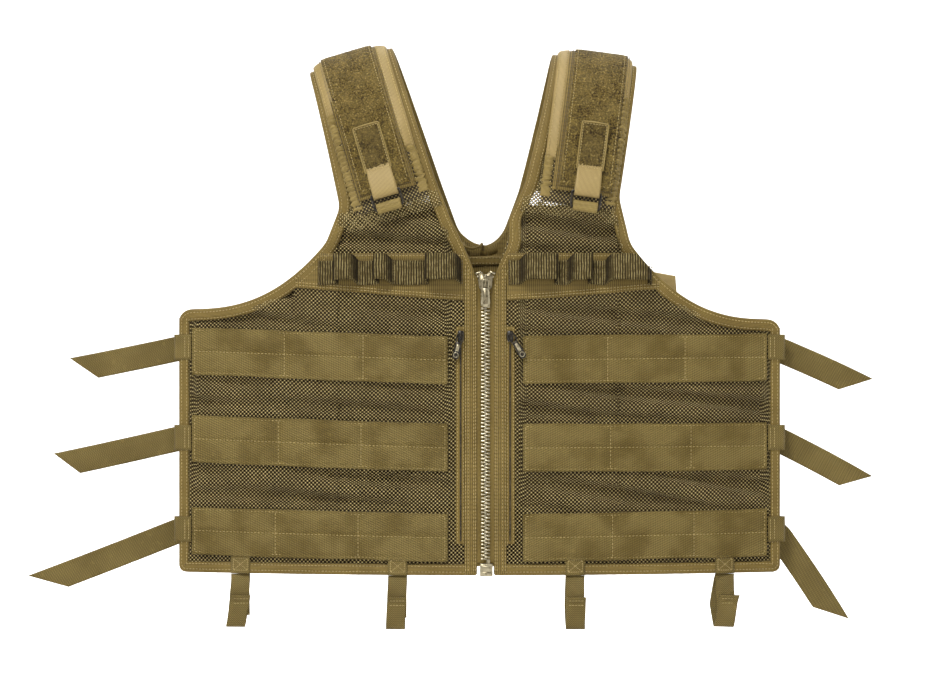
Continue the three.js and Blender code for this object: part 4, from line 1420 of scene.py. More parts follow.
@dataclass(frozen=True)
class RowsAndBands:
    """The webbing rows, chest bands and elastic loops.

    Attributes:
        cloths: The materials.
        seams: Where each row's upright seams stand, from the zip.
        loops: Each elastic loop's two feet, from the zip, and how far it stands out.
    """

    cloths: Wardrobe
    seams: dict[tuple[Side, Row], tuple[float, float]] = field(default_factory=lambda: ROW_SEAMS)
    loops: dict[Side, tuple[tuple[float, float, float], ...]] = field(default_factory=lambda: LOOPS)

    def row(self, half: Half, row: Row) -> None:
        """One webbing row, sewn round its edges, along its middle and at its cells.

        Args:
            half: Which half.
            row: Which row.
        """
        cloth = Cloth()
        sign = half.sign
        end = half.half - ROW_MARGIN
        seams = [ROW_INNER + 2.6, *self.seams[half.side, row], end - 2.6]
        outs = np.unique(np.concatenate([np.arange(ROW_INNER, end, 2.6), seams, [end]]))
        levels = np.linspace(-ROW_TALL / 2, ROW_TALL / 2, 25)
        seed = sum(map(ord, half.label + row.value))
        waver = smooth_noise(seed, outs, 26.0)
        o, level = np.meshgrid(outs, levels, indexing="ij")
        h = row_centre(half, row, o) + level * (1 + 0.012 * waver[:, None])
        h += 0.5 * smooth_noise(seed + 1, outs, 60.0)[:, None]
        nearest = np.min(np.abs(o[..., None] - np.array(seams)), axis=-1)
        edge = np.abs(np.minimum(np.abs(level), ROW_TALL / 2 - 2.6 - np.abs(level)))
        lift_x = np.clip(nearest / 9, 0, 1)
        lift_h = np.clip(edge / 6, 0, 1)
        lift = (lift_x * (2 - lift_x)) * (lift_h * (2 - lift_h))
        ripple = 0.25 * np.sin(o / 11 + seed) * np.sin(level / 6)
        w = 1.3 + 2.3 * lift + 1.6 * ripple * lift
        x = sign * o
        weave = np.stack([level, o], -1)
        cloth.slab(front(x, h, w), front(x, h, np.full(h.shape, 0.1)), weave)

        def stitch(out_line: Array, level_line: Array) -> None:
            """Sew a row at distances from the zip and heights from the row's middle."""
            sew(cloth, front, sign * out_line, row_centre(half, row, out_line) + level_line, 1.5, pitch=3.6)

        run = np.linspace(ROW_INNER + 2.6, end - 2.6, 80)
        for level_at in (-ROW_TALL / 2 + 2.6, 0.0, ROW_TALL / 2 - 2.6):
            stitch(run, np.full(run.shape, level_at))
        climb = np.linspace(-ROW_TALL / 2 + 3, ROW_TALL / 2 - 3, 14)
        for seam in seams:
            stitch(np.full(climb.shape, seam), climb)
        name = f"{half.label}_{row.value}_row"
        piece = cloth.build(name, self.cloths.webbing, self.cloths.thread)
        place(piece, ROOT, "webbing", f"{half.label}_{row.value}_webbing")

    def chest_band(self, half: Half) -> None:
        """The twill band that carries the elastic.

        Args:
            half: Which half.
        """
        cloth = Cloth()
        sign = half.sign
        end = 188.0 if sign < 0 else 173.0
        outs = np.arange(21.0, end + 0.1, 2.6)
        low = 268 + 0.08 * (outs - 21) + 0.5 * smooth_noise(7 + sign, outs, 30)
        high = np.array([min(315.0, half.armhole(o, 0) - 2) for o in outs])
        share = np.linspace(0, 1, 14)
        h = low[:, None] + (high - low)[:, None] * share
        x = np.broadcast_to(sign * outs[:, None], h.shape)
        w = 1.3 + 0.35 * np.sin(x / 17) * np.sin(h / 7)
        cloth.slab(front(x, h, w), front(x, h, np.full(h.shape, 0.05)), np.stack([np.abs(x), h], -1))
        for line_h in (low + 2.4, low + 5.0, high - 2.6):
            sew(cloth, front, sign * outs, line_h, 1.45)
        piece = cloth.build(f"{half.label}_chest_band_cloth", self.cloths.facing, self.cloths.thread)
        place(piece, ROOT, "facing", f"{half.label}_chest_band")

    def elastic(self, half: Half) -> None:
        """One elastic strip, sewn flat between its raised loops.

        Args:
            half: Which half.
        """
        cloth = Cloth()
        sign = half.sign
        path: list[tuple[float, float]] = []
        feet: list[float] = []
        at = 22.5
        for low, high, rise in self.loops[half.side]:
            path += [(o, 2.4) for o in np.arange(at, low - 1.5, 2.0)]
            feet += [low - 1.5, high + 1.5]
            for angle in np.linspace(math.pi, 0, 26):
                across = math.copysign(abs(math.cos(angle)) ** 0.62, math.cos(angle))
                top = math.sin(angle) ** 0.85
                path.append(((low + high) / 2 + across * (high - low) / 2 + 7.0 * top, 2.6 + rise * top))
            at = high + 1.5
        path += [(o, 2.4) for o in np.arange(at, 165.5, 2.0)]
        line = resample(np.array(path), 1.1)
        line[:, 1] = np.convolve(np.pad(line[:, 1], 2, mode="edge"), np.ones(5) / 5, "valid")
        length = along_of(line)
        run = unit(np.gradient(line, axis=0))
        out_way = np.stack([-run[:, 1], run[:, 0]], -1)
        levels = np.linspace(0, 1, 12)
        rise = np.clip((line[:, 1] - 2.4) / 8, 0, 1)
        low = 284 + 5.0 * rise + 0.4 * smooth_noise(3, length, 9)
        high = 307.5 + 7.0 * rise + 0.4 * smooth_noise(4, length, 9)
        high = np.minimum(high, np.array([half.armhole(o, 0) - 2.0 for o in line[:, 0]]))
        h = low[:, None] + (high - low)[:, None] * levels
        bow = 0.7 * np.sin(np.pi * levels)[None] * rise[:, None]

        def layer(off: float) -> Array:
            """The strip's face at a distance from its middle."""
            moved = line + out_way * off
            x = sign * moved[:, :1] * np.ones_like(h)
            return front(x, h, moved[:, 1:] + bow)

        weave = np.stack([h, np.broadcast_to(length[:, None], h.shape)], -1)
        cloth.slab(layer(0.75), layer(-0.75), weave)
        climb = np.linspace(284.5, 308, 10)
        for foot in [23.6, *feet, 163.5]:
            sew(cloth, front, sign * foot, climb, 3.3, pitch=2.6, length=2.2)
        piece = cloth.build(f"{half.label}_elastic_strip", self.cloths.elastic, self.cloths.thread_dark)
        place(piece, ROOT, "elastic", f"{half.label}_elastic_loops")

    def build(self) -> None:
        """Build every row, band and elastic."""
        for half in HALVES:
            for row in Row:
                self.row(half, row)
            self.chest_band(half)
            self.elastic(half)


def plate(
    cloth: Cloth, outline: Sequence[Sequence[float]], low: float, high: float, chamfer: float = 0.3,
    slot: int = 0,
) -> None:
    """Add a flat plate in x and height with chamfered rims, between two depths.

    Args:
        cloth: The piece it is added to.
        outline: Its corners as x and height.
        low: The front depth, y.
        high: The back depth, y.
        chamfer: The rim's chamfer.
        slot: Which material it takes.
    """
    flat = np.asarray(outline, float)
    middle = flat.mean(0)
    inner = middle + (flat - middle) * (1 - chamfer / np.abs(flat - middle).max())
    layers = [(inner, low), (flat, low + chamfer), (flat, high - chamfer), (inner, high)]
    points = np.vstack([np.column_stack([f[:, 0], np.full(len(f), y), f[:, 1]]) for f, y in layers])
    count = len(flat)
    number = np.arange(4 * count).reshape(4, count)
    a, b = number[:-1], number[1:]
    faces = np.stack([a, np.roll(a, -1, 1), np.roll(b, -1, 1), b], -1).reshape(-1, 4).tolist()
    faces += [number[0][::-1].tolist(), number[3].tolist()]
    cloth.add(points, faces, points[:, [0, 2]], slot)


def tube(
    cloth: Cloth, line: Array, radius: float, sides: int = 8, flat: float = 1.0,
    up: Sequence[float] = (0, 0, 1), slot: int = 0, closed: bool = False,
) -> None:
    """Add a round bar along a line.

    Args:
        cloth: The piece it is added to.
        line: Its points.
        radius: Half its width.
        sides: How many faces go round it.
        flat: Its second radius as a share of the first.
        up: A direction that is never along the line.
        slot: Which material it takes.
        closed: True if it is a ring.
    """
    run = unit(np.gradient(line, axis=0)) if not closed else unit(np.roll(line, -1, 0) - np.roll(line, 1, 0))
    first = unit(np.cross(run, np.asarray(up, float)))
    second = unit(np.cross(first, run))
    angle = np.linspace(0, 2 * np.pi, sides, endpoint=False)
    profile = np.column_stack([np.cos(angle) * radius, np.sin(angle) * radius * flat])
    cloth.sweep(line, first, second, profile, slot, closed)


@dataclass(frozen=True)
class Zips:
    """The main zip, the pocket zips and the plackets beside them.

    Attributes:
        cloths: The materials.
        pitch: From tooth to tooth on one side of the main zip.
        plane: The depth of the teeth's middle.
        top_line: Distances from the zip, and the placket's top edge at each.
    """

    cloths: Wardrobe
    pitch: float = 3.5
    plane: float = -60.0
    top_line: tuple[tuple[float, ...], tuple[float, ...]] = ((8, 12, 21), (284, 297, 309))

    def tooth(
        self, cloth: Cloth, sign: int, h: float, lean: float = 0.0,
        base: tuple[float, float] = (0.0, 0.0),
    ) -> None:
        """One cast tooth, clamped on the tape's edge.

        Args:
            cloth: The piece it is added to.
            sign: The side that it is clamped on.
            h: Its height.
            lean: How far its chain leans outward, in degrees.
            base: Where the leaning chain starts, as x and height.
        """
        shape = np.array([
            (4.5, -0.4), (4.1, -0.95), (2.7, -1.0), (1.5, -0.62), (0.5, -0.62), (-0.4, -0.85), (-1.15, -0.6),
            (-1.3, 0.0), (-1.15, 0.6), (-0.4, 0.85), (0.5, 0.62), (1.5, 0.62), (2.7, 1.0), (4.1, 0.95),
            (4.5, 0.4),
        ])
        if lean:
            a = math.radians(lean)
            moved = shape + [0, h]
            x = base[0] + moved[:, 0] * math.cos(a) + moved[:, 1] * math.sin(a)
            z = base[1] - moved[:, 0] * math.sin(a) + moved[:, 1] * math.cos(a)
            outline = np.column_stack([sign * x, z])
        else:
            outline = np.column_stack([sign * shape[:, 0], shape[:, 1] + h])
        plate(cloth, outline, self.plane - 1.35, self.plane + 1.3, 0.35)

    def main(self) -> None:
        """Both rows of teeth, the tape under them and the box at the foot."""
        metal = Cloth()
        for half in HALVES:
            sign = half.sign
            offset = 0.0 if sign < 0 else self.pitch / 2
            for h in np.arange(15.5 + offset, 284.5, self.pitch):
                self.tooth(metal, sign, h)
            for number in range(4):
                self.tooth(metal, sign, 1.0 + number * self.pitch, 21.0, (1.3, 285.5))
        box = [
            (-5.4, -1.0), (-4.6, -1.5), (6.4, -1.5), (7.2, -1.0), (7.2, 10.2), (6.4, 11.0), (-4.6, 11.0),
            (-5.4, 10.2),
        ]
        plate(metal, box, -62.2, -57.8, 0.6)
        plate(metal, [(-4.2, 1.2), (6.0, 1.2), (6.0, 2.6), (-4.2, 2.6)], -62.7, -61.9, 0.2)
        plate(metal, [(-4.2, 7.4), (6.0, 7.4), (6.0, 8.6), (-4.2, 8.6)], -62.7, -61.9, 0.2)
        plate(metal, [(0.6, 10.5), (4.6, 10.5), (4.4, 15.0), (1.2, 15.0)], -61.3, -58.6, 0.3)
        piece = metal.build("zip_chain", self.cloths.nickel)
        place(piece, ROOT, "nickel", "left_zip_teeth", "right_zip_teeth")
        tape = Cloth()
        for half in HALVES:
            sign = half.sign
            h = np.linspace(11, 292, 120)
            outs = np.array([0.25, 2.2, 4.2, 6.0, 8.0, 10.0])
            o, level = np.meshgrid(outs, h, indexing="ij")
            lean = np.clip(level - 284, 0, 99) * 0.36
            x = sign * (o + lean)
            w = np.where(o < 7, -0.35, 0.25)
            tape.slab(front(x, level, w), front(x, level, w - 0.6), np.stack([o, level], -1))
        place(tape.build("zip_tape", self.cloths.tape), ROOT, "facing")
        self.slider()

    def slider(self) -> None:
        """The slider with its bail, and the pull that hangs from it."""
        body = Cloth()
        rim = [(4.6, 279), (6.2, 281.5), (6.6, 285), (7.2, 291), (6.6, 294.6), (3.4, 296), (1.2, 293.6)]
        face = [(-x, h) for x, h in rim] + rim[::-1]
        plate(body, face, -63.6, -62.0, 0.45)
        plate(body, face, -57.7, -56.3, 0.4)
        for sign in (-1, 1):
            wall = [(5.0, 279.4), (6.4, 281.6), (6.8, 285.4), (5.9, 285.4), (5.4, 281)]
            plate(body, [(sign * x, h) for x, h in wall], -62.4, -57.3, 0.15)
        plate(body, [(-1.2, 289.5), (1.2, 289.5), (1.6, 294), (-1.6, 294)], -62.4, -57.3, 0.2)
        bail = catmull([
            (0, -63.2, 283.4), (0, -65.8, 283.9), (0, -67.2, 286), (0, -67.3, 290), (0, -65.9, 292.2),
            (0, -63.2, 292.7),
        ], 6)
        tube(body, bail, 1.2, 8, 0.55, up=(1, 0, 0), slot=1)
        piece = body.build("zip_slider", self.cloths.cast, self.cloths.nickel)
        place(piece, "main_slider", "nickel", "main_slider")
        pull = Cloth()
        ring = catmull([
            (-2.7, -64.9, 280.8), (-2.8, -64.9, 285), (-2.3, -64.9, 288.2), (0, -64.9, 288.7),
            (2.3, -64.9, 288.2), (2.8, -64.9, 285), (2.7, -64.9, 280.8),
        ], 6)
        tube(pull, ring, 0.75, 8, 0.8, up=(0, 1, 0))
        blade = [
            (-3.5, 280.6), (3.5, 280.6), (3.9, 276), (4.6, 266.5), (4.1, 263.2), (2.6, 262.2),
            (-2.6, 262.2), (-4.1, 263.2), (-4.6, 266.5), (-3.9, 276),
        ]
        plate(pull, blade, -65.55, -64.25, 0.3)
        inset = [(-2.2, 278), (2.2, 278), (2.9, 267), (2.2, 265), (-2.2, 265), (-2.9, 267)]
        plate(pull, inset, -65.95, -65.4, 0.25, 1)
        piece = pull.build("zip_pull", self.cloths.nickel, self.cloths.cast)
        place(piece, "main_pull", "nickel", "main_pull")

    def placket(self, half: Half) -> None:
        """The stitched facing beside the teeth.

        Args:
            half: Which half.
        """
        cloth = Cloth()
        sign = half.sign
        h = np.linspace(0.5, 300, 130)
        outs = np.array([8.2, 9.0, 11.5, 14.0, 16.5, 19.0, 20.2, 20.8])
        o, level = np.meshgrid(outs, h, indexing="ij")
        top = np.interp(o, *self.top_line) - 2
        level = level * top / 300
        bend = 0.35 * smooth_noise(90 + sign, h, 13.0)[None] + 0.2 * smooth_noise(92 + sign, h, 5.0)[None]
        x = sign * (o + 0.5 * bend * (o > 10))
        w = 1.25 + 0.3 * np.sin((o - 8) / 12.8 * np.pi) + bend * 0.6
        w[-1] -= 0.5
        w[0] -= 0.4
        cloth.slab(front(x, level, w), front(x, level, np.full(w.shape, 0.08)), np.stack([o, level], -1))
        for at in (9.6, 11.4, 16.8, 19.4):
            top_at = float(np.interp(at, *self.top_line)) - 4
            sew(cloth, front, sign * at, np.linspace(3, top_at, 80), 1.62)
        piece = cloth.build(f"{half.label}_placket_facing", self.cloths.facing, self.cloths.thread)
        place(piece, ROOT, "facing", f"{half.label}_placket")

    def pocket(self, half: Half) -> None:
        """A pocket zip: its tape, its covered coil, its slider and its pull.

        Args:
            half: Which half.
        """
        label = half.label
        sign = half.sign
        tape = Cloth()
        h = np.linspace(30, 243, 90)
        outs = np.array([20.4, 22.4, 24.2, 26.4, 28.0, 28.9])
        o, level = np.meshgrid(outs, h, indexing="ij")
        ripple = 0.25 * smooth_noise(101 + sign, h, 12.0)[None]
        w = np.array([0.9, 1.2, 0.75, 1.25, 1.1, 0.6])[:, None] + ripple
        under = front(sign * o, level, np.full(w.shape, 0.06))
        tape.slab(front(sign * o, level, w), under, np.stack([o, level], -1))
        coil = np.linspace(33, 226, 320)
        wobble = 0.55 * np.sin(coil * 2 * np.pi / 1.6)
        line = front(sign * (24.2 + wobble), coil, 1.15)
        tube(tape, line, 0.62, 5, 1.0, up=(0, 1, 0), slot=1)
        for at in (21.4, 27.4):
            sew(tape, front, sign * at, h, 1.28, slot=2)
        piece = tape.build(f"{label}_pocket_tape", self.cloths.tape, self.cloths.enamel, self.cloths.thread)
        place(piece, ROOT, "facing", f"{label}_pocket_zip")
        low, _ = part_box(f"{label}_pocket_slider")
        x = sign * 24.2
        y = low.y / MM + 6.6
        body = Cloth()
        face = [
            (-2.2, 228), (-3.1, 230), (-3.4, 235), (-2.8, 238.4), (-0.8, 239), (0.8, 239), (2.8, 238.4),
            (3.4, 235), (3.1, 230), (2.2, 228),
        ]
        plate(body, [(x + a, b) for a, b in face], y - 3.7, y - 1.9, 0.4)
        bail = catmull([
            (x, y - 3.4, 231.8), (x, y - 5.6, 232.2), (x, y - 6.5, 234.4), (x, y - 5.8, 237),
            (x, y - 3.4, 237.4),
        ], 6)
        tube(body, bail, 0.9, 8, 0.6, up=(1, 0, 0))
        piece = body.build(f"{label}_pocket_zip_slider", self.cloths.enamel)
        place(piece, f"{label}_pocket_slider", "dark", f"{label}_pocket_slider")
        self.pocket_pull(half, x, y)

    def pocket_pull(self, half: Half, x: float, y: float) -> None:
        """The pull on a pocket zip, hanging a little outward.

        Args:
            half: Which half.
            x: The slider's middle.
            y: The slider's depth.
        """
        tilt, length = (13.0, 25.0) if half.side is Side.LEFT else (31.0, 27.0)
        angle = math.radians(half.sign * tilt)

        def turned(points: Sequence[Sequence[float]]) -> Array:
            """Points of the hanging pull, turned to its tilt."""
            flat = np.asarray(points, float)
            a = flat[:, 0] * math.cos(angle) - flat[:, 1] * math.sin(angle)
            b = flat[:, 0] * math.sin(angle) + flat[:, 1] * math.cos(angle)
            return np.column_stack([x + a, 235.4 + b])

        pull = Cloth()
        depth = y - 4.6
        ring = turned(catmull([
            (-2.6, -8.5), (-3.1, -4), (-2.6, -0.2), (0, 0.4), (2.6, -0.2), (3.1, -4), (2.6, -8.5),
        ], 6))
        line = np.column_stack([ring[:, 0], np.full(len(ring), depth), ring[:, 1]])
        tube(pull, line, 0.62, 8, 0.8, up=(0, 1, 0))
        blade = [
            (-3.1, -8), (3.1, -8), (3.0, -12), (3.4, -length + 3), (2.5, -length + 0.6), (0, -length),
            (-2.5, -length + 0.6), (-3.4, -length + 3), (-3.0, -12),
        ]
        plate(pull, turned(blade), depth - 0.55, depth + 0.5, 0.25)
        around = np.linspace(0, 2 * np.pi, 20, endpoint=False)
        rim = turned(np.column_stack([2.3 * np.cos(around), -length + 4.2 + 2.3 * np.sin(around)]))
        line = np.column_stack([rim[:, 0], np.full(20, depth - 0.6), rim[:, 1]])
        tube(pull, line, 0.42, 6, 1.0, up=(0, 1, 0), slot=1, closed=True)
        rib = turned([(-1.5, -10.5), (1.5, -10.5), (1.5, -length + 8), (-1.5, -length + 8)])
        plate(pull, rib, depth - 0.85, depth - 0.4, 0.2, slot=1)
        label = half.label
        piece = pull.build(f"{label}_pocket_zip_pull", self.cloths.enamel, self.cloths.nickel)
        place(piece, f"{label}_pocket_pull", "dark", f"{label}_pocket_pull")

    def build(self) -> None:
        """Build all three zips and both plackets."""
        self.main()
        for half in HALVES:
            self.placket(half)
            self.pocket(half)


@dataclass(frozen=True)
class Shoulder:
    """One shoulder: its net yoke, foam pad, satin bands, pile strap and ring tab.

    Attributes:
        half: Which half it is on.
        cloths: The materials.
        pile_wide: The pile strap's width.
        pad_turns: Where the pad starts and ends over the shoulder, in degrees.
    """

    half: Half
    cloths: Wardrobe
    pile_wide: float = 52.0
    pad_turns: tuple[float, float] = (13.0, 162.0)

    @property
    def label(self) -> str:
        """The side's name in node names."""
        return self.half.label

    @property
    def is_left(self) -> bool:
        """True on the left shoulder."""
        return self.half.side is Side.LEFT

    def rims(self) -> tuple[Array, Array, Array]:
        """The turns of the pad's rows, and its inner and outer rim at each."""
        turns = np.linspace(*self.pad_turns, 120)
        low_inner, low_outer = self.half.edges(turns)
        inner = np.maximum(-39.0 if self.is_left else -42.0, low_inner + 4)
        outer = np.minimum(35.0 if self.is_left else 31.0, low_outer - 4)
        return turns, inner, outer

    def sew(self, cloth: Cloth, u: Array | float, turns: Array, w: Array | float, **style: float) -> None:
        """Sew a row of stitches over the shoulder.

        Args:
            cloth: The piece it is added to.
            u: Across the strap, outward.
            turns: The turn of each point.
            w: Its height over the shoulder's own curve.
            **style: Settings of Cloth.stitches; the slot is 1 unless it is given.
        """
        line = self.half.over(u, turns, w)
        normal = unit(self.half.over(u, turns, w + 2.0) - line)
        cloth.stitches(line, normal, **{"slot": 1, **style})

    def grid(self, turns: Array, inner: Array, outer: Array, shares: Array, w: Array) -> Array:
        """Points over the shoulder between two edges, at a height of w.

        Args:
            turns: The turn of each row.
            inner: The inner edge at each turn.
            outer: The outer edge at each turn.
            shares: The columns, 0 at the inner edge and 1 at the outer.
            w: The height, rows by columns.

        Returns:
            Rows by columns by 3 points.
        """
        u = inner[:, None] + (outer - inner)[:, None] * shares
        return self.half.over(u, np.broadcast_to(turns[:, None], u.shape), w)

    def layer(
        self, cloth: Cloth, turns: Array, inner: Array, outer: Array, w: Array, thick: Array,
        slot: int = 0,
    ) -> None:
        """Add a layer over the shoulder.

        Args:
            cloth: The piece it is added to.
            turns: The turn of each row.
            inner: Its inner edge at each turn.
            outer: Its outer edge at each turn.
            w: The height of its outer face, rows by columns.
            thick: How much lower its inner face is.
            slot: Which material it takes.
        """
        shares = np.linspace(0, 1, w.shape[1])
        top = self.grid(turns, inner, outer, shares, w)
        low = self.grid(turns, inner, outer, shares, w - thick)
        u = inner[:, None] + (outer - inner)[:, None] * shares
        length = along_of(self.half.over(0, turns, 8.0))
        cloth.slab(top, low, np.stack([u, np.broadcast_to(length[:, None], u.shape)], -1), slot)

    def net(self) -> None:
        """The net that carries the pad, bound along both edges."""
        cloth = Cloth()
        turns = np.linspace(9.2, 169.2, 110)
        inner, outer = self.half.edges(turns)
        w = 3.0 + 0.5 * np.sin(np.linspace(0, 40, 110))[:, None] * np.sin(np.linspace(0, 9, 34))
        self.layer(cloth, turns, inner + 1, outer - 1, w, np.full(w.shape, 1.4))
        piece = cloth.build(f"{self.label}_shoulder_net", self.cloths.net)
        place(piece, ROOT, "mesh")

    def pad(self) -> None:
        """The foam pad in its net cover, thin at its rims and puckered where it is gathered."""
        half = self.half
        cloth = Cloth()
        turns, inner, outer = self.rims()
        shares = np.linspace(0, 1, 30)
        dome = np.sin(np.pi * shares) ** 0.45
        ends = np.clip(np.minimum(turns - self.pad_turns[0], self.pad_turns[1] - turns) / 14, 0, 1) ** 0.6
        length = along_of(half.over(0, turns, 8.0))
        pucker = 0.8 * np.sin(length * 2 * np.pi / 8.0 + smooth_noise(5, length, 13.0) * 2)[:, None]
        rim = np.exp(-((np.minimum(shares, 1 - shares) / 0.09) ** 2))[None]
        bottom = np.clip((62 - turns) / 20, 0, 1)[:, None]
        w = 4.0 + 5.6 * dome[None] * ends[:, None] + pucker * rim * bottom * 1.4
        w = np.minimum(w, 10.2)
        self.layer(cloth, turns, inner, outer, w, w - 3.4)
        piece = cloth.build(f"{self.label}_foam_pad", self.cloths.net_dark)
        place(piece, ROOT, "facing", f"{self.label}_shoulder_pad")
        self.bands(inner, outer, turns)

    def bands(self, inner: Array, outer: Array, turns: Array) -> None:
        """Smooth bands along the pad's rims, which turn into gathered tape toward the front foot.

        Args:
            inner: The pad's inner rim at each turn.
            outer: Its outer rim.
            turns: The turns.
        """
        smooth = Cloth()
        ruffle = Cloth()
        half = self.half
        for number, (edge, way) in enumerate(((inner, 1), (outer, -1))):
            start = ((27.0, 46.0) if self.is_left else (25.0, 50.0))[number]
            take = turns >= start
            wide = 12.0 if number == 0 or self.is_left else 8.0
            rows = turns[take]
            near = edge[take] - way * 1.0
            far = near + way * wide
            length = along_of(half.over(0, rows, 8.0))
            soft = 0.3 * smooth_noise(300 + number, length, 20.0)
            shares = np.linspace(0, 1, 8)
            bulge = 1.6 * np.sin(np.pi * shares) ** 0.5
            fade = np.clip((162 - rows) / 10, 0, 1)
            dive = np.clip((rows - start) / 9, 0, 1)[:, None]
            w = 6.2 + bulge[None] + (3.2 * shares * fade[:, None]) + soft[:, None] - 2.6 * (1 - dive) ** 2
            low, high = (near, far) if way > 0 else (far, near)
            w_used = w if way > 0 else w[:, ::-1]
            self.layer(smooth, rows, low, high, w_used, np.full(w.shape, 2.6))
            for reach, lift in ((2.4, 8.4), (wide - 2.4, 10.7)):
                self.sew(smooth, near + way * reach, rows, lift + soft - 0.2)
            take = (turns <= start + 2) & (turns > 14)
            rows = resample(turns[take][:, None], 0.45)[:, 0]
            near = np.interp(rows, turns, edge)
            length = along_of(half.over(0, rows, 8.0))
            folds = np.sin(length * 2 * np.pi / 5.4 + 2.4 * smooth_noise(400 + number, length, 8.0))
            folds = folds * (0.7 + 0.5 * smooth_noise(410 + number, length, 6.0))
            shares = np.linspace(0, 1, 9)
            bulge = np.sin(np.pi * shares) ** 0.6
            settle = np.clip((rows - 14) / 10, 0.2, 1)[:, None]
            w = 5.2 + (3.8 * bulge[None] + 3.6 * folds[:, None] * bulge[None]) * settle
            shift = 2.0 * folds
            first = near - way * 1.5 + shift * 0.6
            second = near + way * 8.5 + shift
            low, high = (first, second) if way > 0 else (second, first)
            self.layer(ruffle, rows, low, high, w if way > 0 else w[:, ::-1], np.full(w.shape, 1.6))
        piece = smooth.build(f"{self.label}_pad_bands", self.cloths.satin, self.cloths.thread)
        place(piece, ROOT, "facing")
        piece = ruffle.build(f"{self.label}_pad_ruffles", self.cloths.gathered)
        place(piece, ROOT, "facing")

    def pile_layer(self, cloth: Cloth, span: tuple[float, float], w: float, thick: float, seed: int) -> None:
        """Add a strap with a tufted, slightly ragged face.

        Args:
            cloth: The piece it is added to.
            span: The turns at which it starts and ends.
            w: The height of its face.
            thick: Its thickness.
            seed: Which random tufts it has.
        """
        wide = self.pile_wide
        turns = np.arange(*span, 0.42)
        generator = np.random.default_rng(seed)
        length = along_of(self.half.over(0, turns, 12.0))
        columns = max(12, int(wide / 1.25))
        shares = np.linspace(-1, 1, columns)
        fuzz = generator.uniform(-0.28, 0.28, (len(turns), columns))
        roll = 0.7 * np.clip(1 - (1 - np.abs(shares)) * 6, 0, 1)[None] ** 2
        border = 0.35 * np.exp(-(((1 - np.abs(shares)) * wide / 2 - 3.2) ** 2) / 1.0)[None]
        height = w + fuzz - roll - border + 0.3 * smooth_noise(seed + 1, length, 30.0)[:, None]
        rag = generator.uniform(-0.3, 0.3, len(turns))
        inner = -wide / 2 + 0.6 * smooth_noise(seed + 2, length, 24.0) + rag
        outer = wide / 2 + 0.6 * smooth_noise(seed + 3, length, 24.0) - rag
        self.layer(cloth, turns, inner, outer, height, np.full(height.shape, thick))

    def pile(self) -> None:
        """The pile strap, sewn to the pad along both edges and at both ends."""
        cloth = Cloth()
        self.pile_layer(cloth, (17.4, 145.0), 12.3, 1.5, 500 + self.half.sign)
        turns = np.linspace(19, 143.5, 150)
        for u in (-23.4, 23.4):
            self.sew(cloth, u, turns, 12.0, pitch=3.2, rise=0.4)
        across = np.linspace(-23, 23, 14)
        for turn in (18.6, 143.2):
            self.sew(cloth, across, np.full(14, turn), 12.0, pitch=3.2)
        turns = np.arange(16.2, 148.0, 0.8)
        at, *rims = self.rims()
        inner, outer = (np.interp(turns, at, rim) for rim in rims)
        length = along_of(self.half.over(0, turns, 12.0))
        wander = 0.5 * smooth_noise(520 + self.half.sign, length, 12.0)
        sides = np.minimum(inner + 9.0, -26.0) + wander, np.maximum(outer - 6.5, 26.0) + wander
        w = 10.9 - 1.6 * np.abs(np.linspace(-1, 1, 16)[None] * np.ones((len(turns), 1))) ** 4
        self.layer(cloth, turns, *sides, w, np.full(w.shape, 0.9), 2)
        for u in (-28.4, 28.4):
            self.sew(cloth, u, turns, 11.0, pitch=3.4, rise=0.4, slot=3)
        piece = cloth.build(
            f"{self.label}_pile_face",
            self.cloths.pile,
            self.cloths.thread,
            self.cloths.facing,
            self.cloths.thread_dark,
        )
        place(piece, ROOT, "pile", f"{self.label}_pile_strap")

    def ring_tab(self) -> None:
        """The tab's pile patch and webbing, folded round the ring, in the tab's flat frame."""
        half = self.half
        foot = half.over(0, 16.5, 0)
        up = unit(half.over(0, 30.5, 0) - foot)
        across = unit((half.over(10, 16.5, 0) - foot) * half.sign)
        out = unit(np.cross(across, up))
        cloth = Cloth()

        def at(a: Array, s: Array, n: Array) -> Array:
            """Points across, up and out of the tab."""
            a, s, n = np.broadcast_arrays(*(np.asarray(v, float) for v in (a, s, n)))
            return foot + a[..., None] * across + s[..., None] * up + n[..., None] * out

